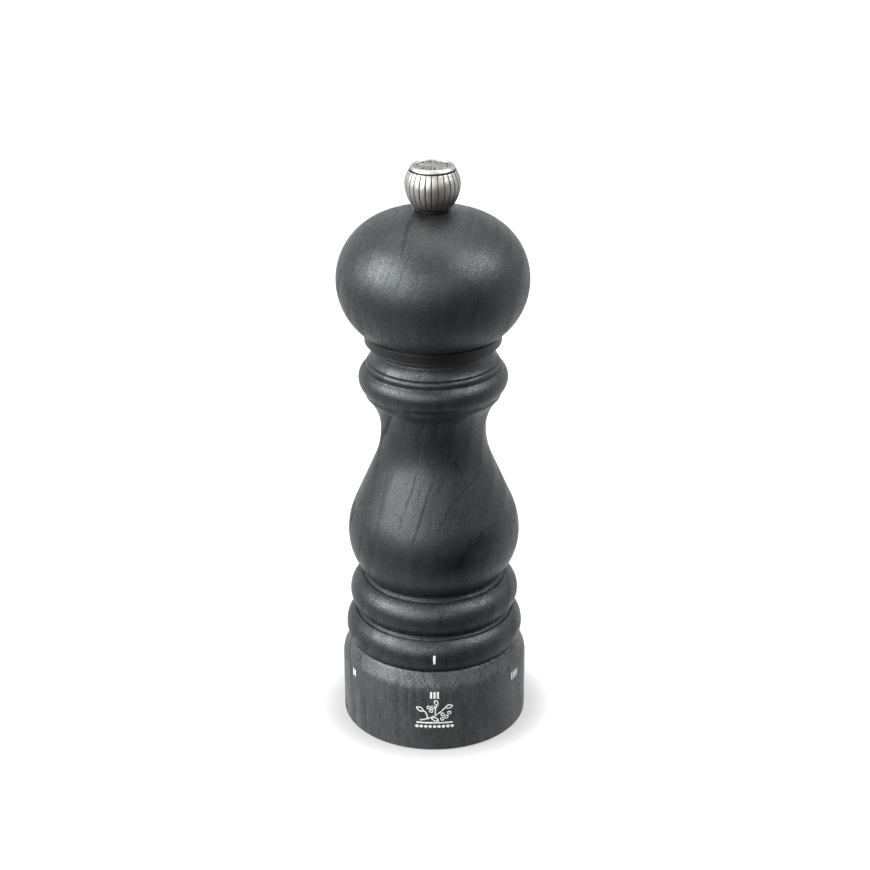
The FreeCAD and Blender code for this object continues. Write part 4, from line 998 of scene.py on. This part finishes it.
def make_floor():
    """A wide, plain, nearly white floor that the finish doesn't mirror, and a far white wall.

    The floor glows less near the mill, a painted shadow round its foot; farther away it glows more, so
    only that shadow at the foot shows.
    """
    corners = [(x * FLOOR_REACH, y * FLOOR_REACH, 0) for x, y in ((-1, -1), (1, -1), (1, 1), (-1, 1))]
    mesh = bpy.data.meshes.new("floor")
    mesh.from_pydata(corners, [], [(0, 1, 2, 3)])
    floor = bpy.data.objects.new("floor", mesh)
    wall_points = [Vector((WALL_RADIUS, height)) / MM for height in (WALL_LOW, WALL_HIGH)]
    wall = turned("backdrop", wall_points, WALL_STEPS, closed=False)
    bpy.context.scene.collection.objects.link(floor)
    g = Graph("floor_white_painted_shadow")
    x, y, _ = g.split(g.place)
    away = g.length(g.combine(x, y, 0.0))
    # Painted shadow: the glow is dimmest at the mill's foot and rises over a few centimetres.
    g.set(Base_Color=(0.15, 0.15, 0.15, 1), Roughness=0.9, Specular_IOR_Level=0.0,
          Emission_Color=(1, 1, 1, 1), Emission_Strength=g.remap(away, 0.028, 0.046, 0.50, 1.1))
    for item in (floor, wall):
        item.data.materials.append(g.material)
        item.visible_glossy = False
        item.visible_diffuse = False
    wall.visible_shadow = False


def make_camera():
    """The camera, a little above the mill and in front of it."""
    data = bpy.data.cameras.new("camera")
    data.sensor_width = 36.0
    data.lens = CAMERA_LENS
    camera = bpy.data.objects.new("camera", data)
    camera.location = CAMERA_PLACE
    look = Euler((math.radians(90 - CAMERA_DOWN), 0.0, 0.0)).to_matrix()
    roll = Euler((0.0, 0.0, math.radians(CAMERA_ROLL))).to_matrix()
    camera.rotation_euler = (look @ roll).to_euler()
    bpy.context.scene.collection.objects.link(camera)
    bpy.context.scene.camera = camera


def make_world():
    """A studio round the mill: pale behind and under it, palest where the key lights the floor."""
    world = bpy.data.worlds.new("surround")
    world.use_nodes = True
    tree = world.node_tree
    ground = tree.nodes["Background"]
    way = tree.nodes.new("ShaderNodeTexCoord").outputs["Generated"]
    parts = tree.nodes.new("ShaderNodeSeparateXYZ")
    tree.links.new(way, parts.inputs[0])

    def fade(source, low, high, to_low, to_high):
        made = tree.nodes.new("ShaderNodeMapRange")
        made.interpolation_type = "SMOOTHSTEP"
        tree.links.new(source, made.inputs[0])
        for index, value in enumerate((low, high, to_low, to_high), 1):
            made.inputs[index].default_value = value
        return made.outputs[0]

    def brighter(a, b):
        made = tree.nodes.new("ShaderNodeMath")
        tree.links.new(a, made.inputs[0])
        tree.links.new(b, made.inputs[1])
        made.operation = "MAXIMUM"
        return made.outputs[0]

    behind = fade(parts.outputs["Y"], -0.95, 0.5, 0.07, 0.8)
    below = fade(parts.outputs["Z"], -0.70, -0.98, 0.0, 0.65)
    toward = tree.nodes.new("ShaderNodeVectorMath")
    toward.operation = "DOT_PRODUCT"
    tree.links.new(way, toward.inputs[0])
    toward.inputs[1].default_value = (-0.62, -0.08, -0.78)
    lit_floor = fade(toward.outputs["Value"], 0.55, 0.97, 0.0, 0.85)
    tree.links.new(brighter(brighter(behind, below), lit_floor), ground.inputs["Strength"])
    ground.inputs["Color"].default_value = (0.95, 0.98, 1.0, 1)
    bpy.context.scene.world = world


make_floor()
make_camera()
make_world()
# Each soft box: its turn left of the front, its height, its distance, its size and its power.
soft_box("key", 75, 33, 0.9, (0.5, 0.6), 12.0)
soft_box("key_front", 37, 23, 0.9, (0.62, 0.62), 6.2)
soft_box("front", -3, 30, 1.0, (0.9, 0.4), 2.2)
soft_box("second", -75, 46, 0.9, (0.5, 0.5), 6.5)
soft_box("top", 180, 80, 1.0, (0.9, 0.9), 4.4)
bpy.context.scene.view_settings.view_transform = "Standard"
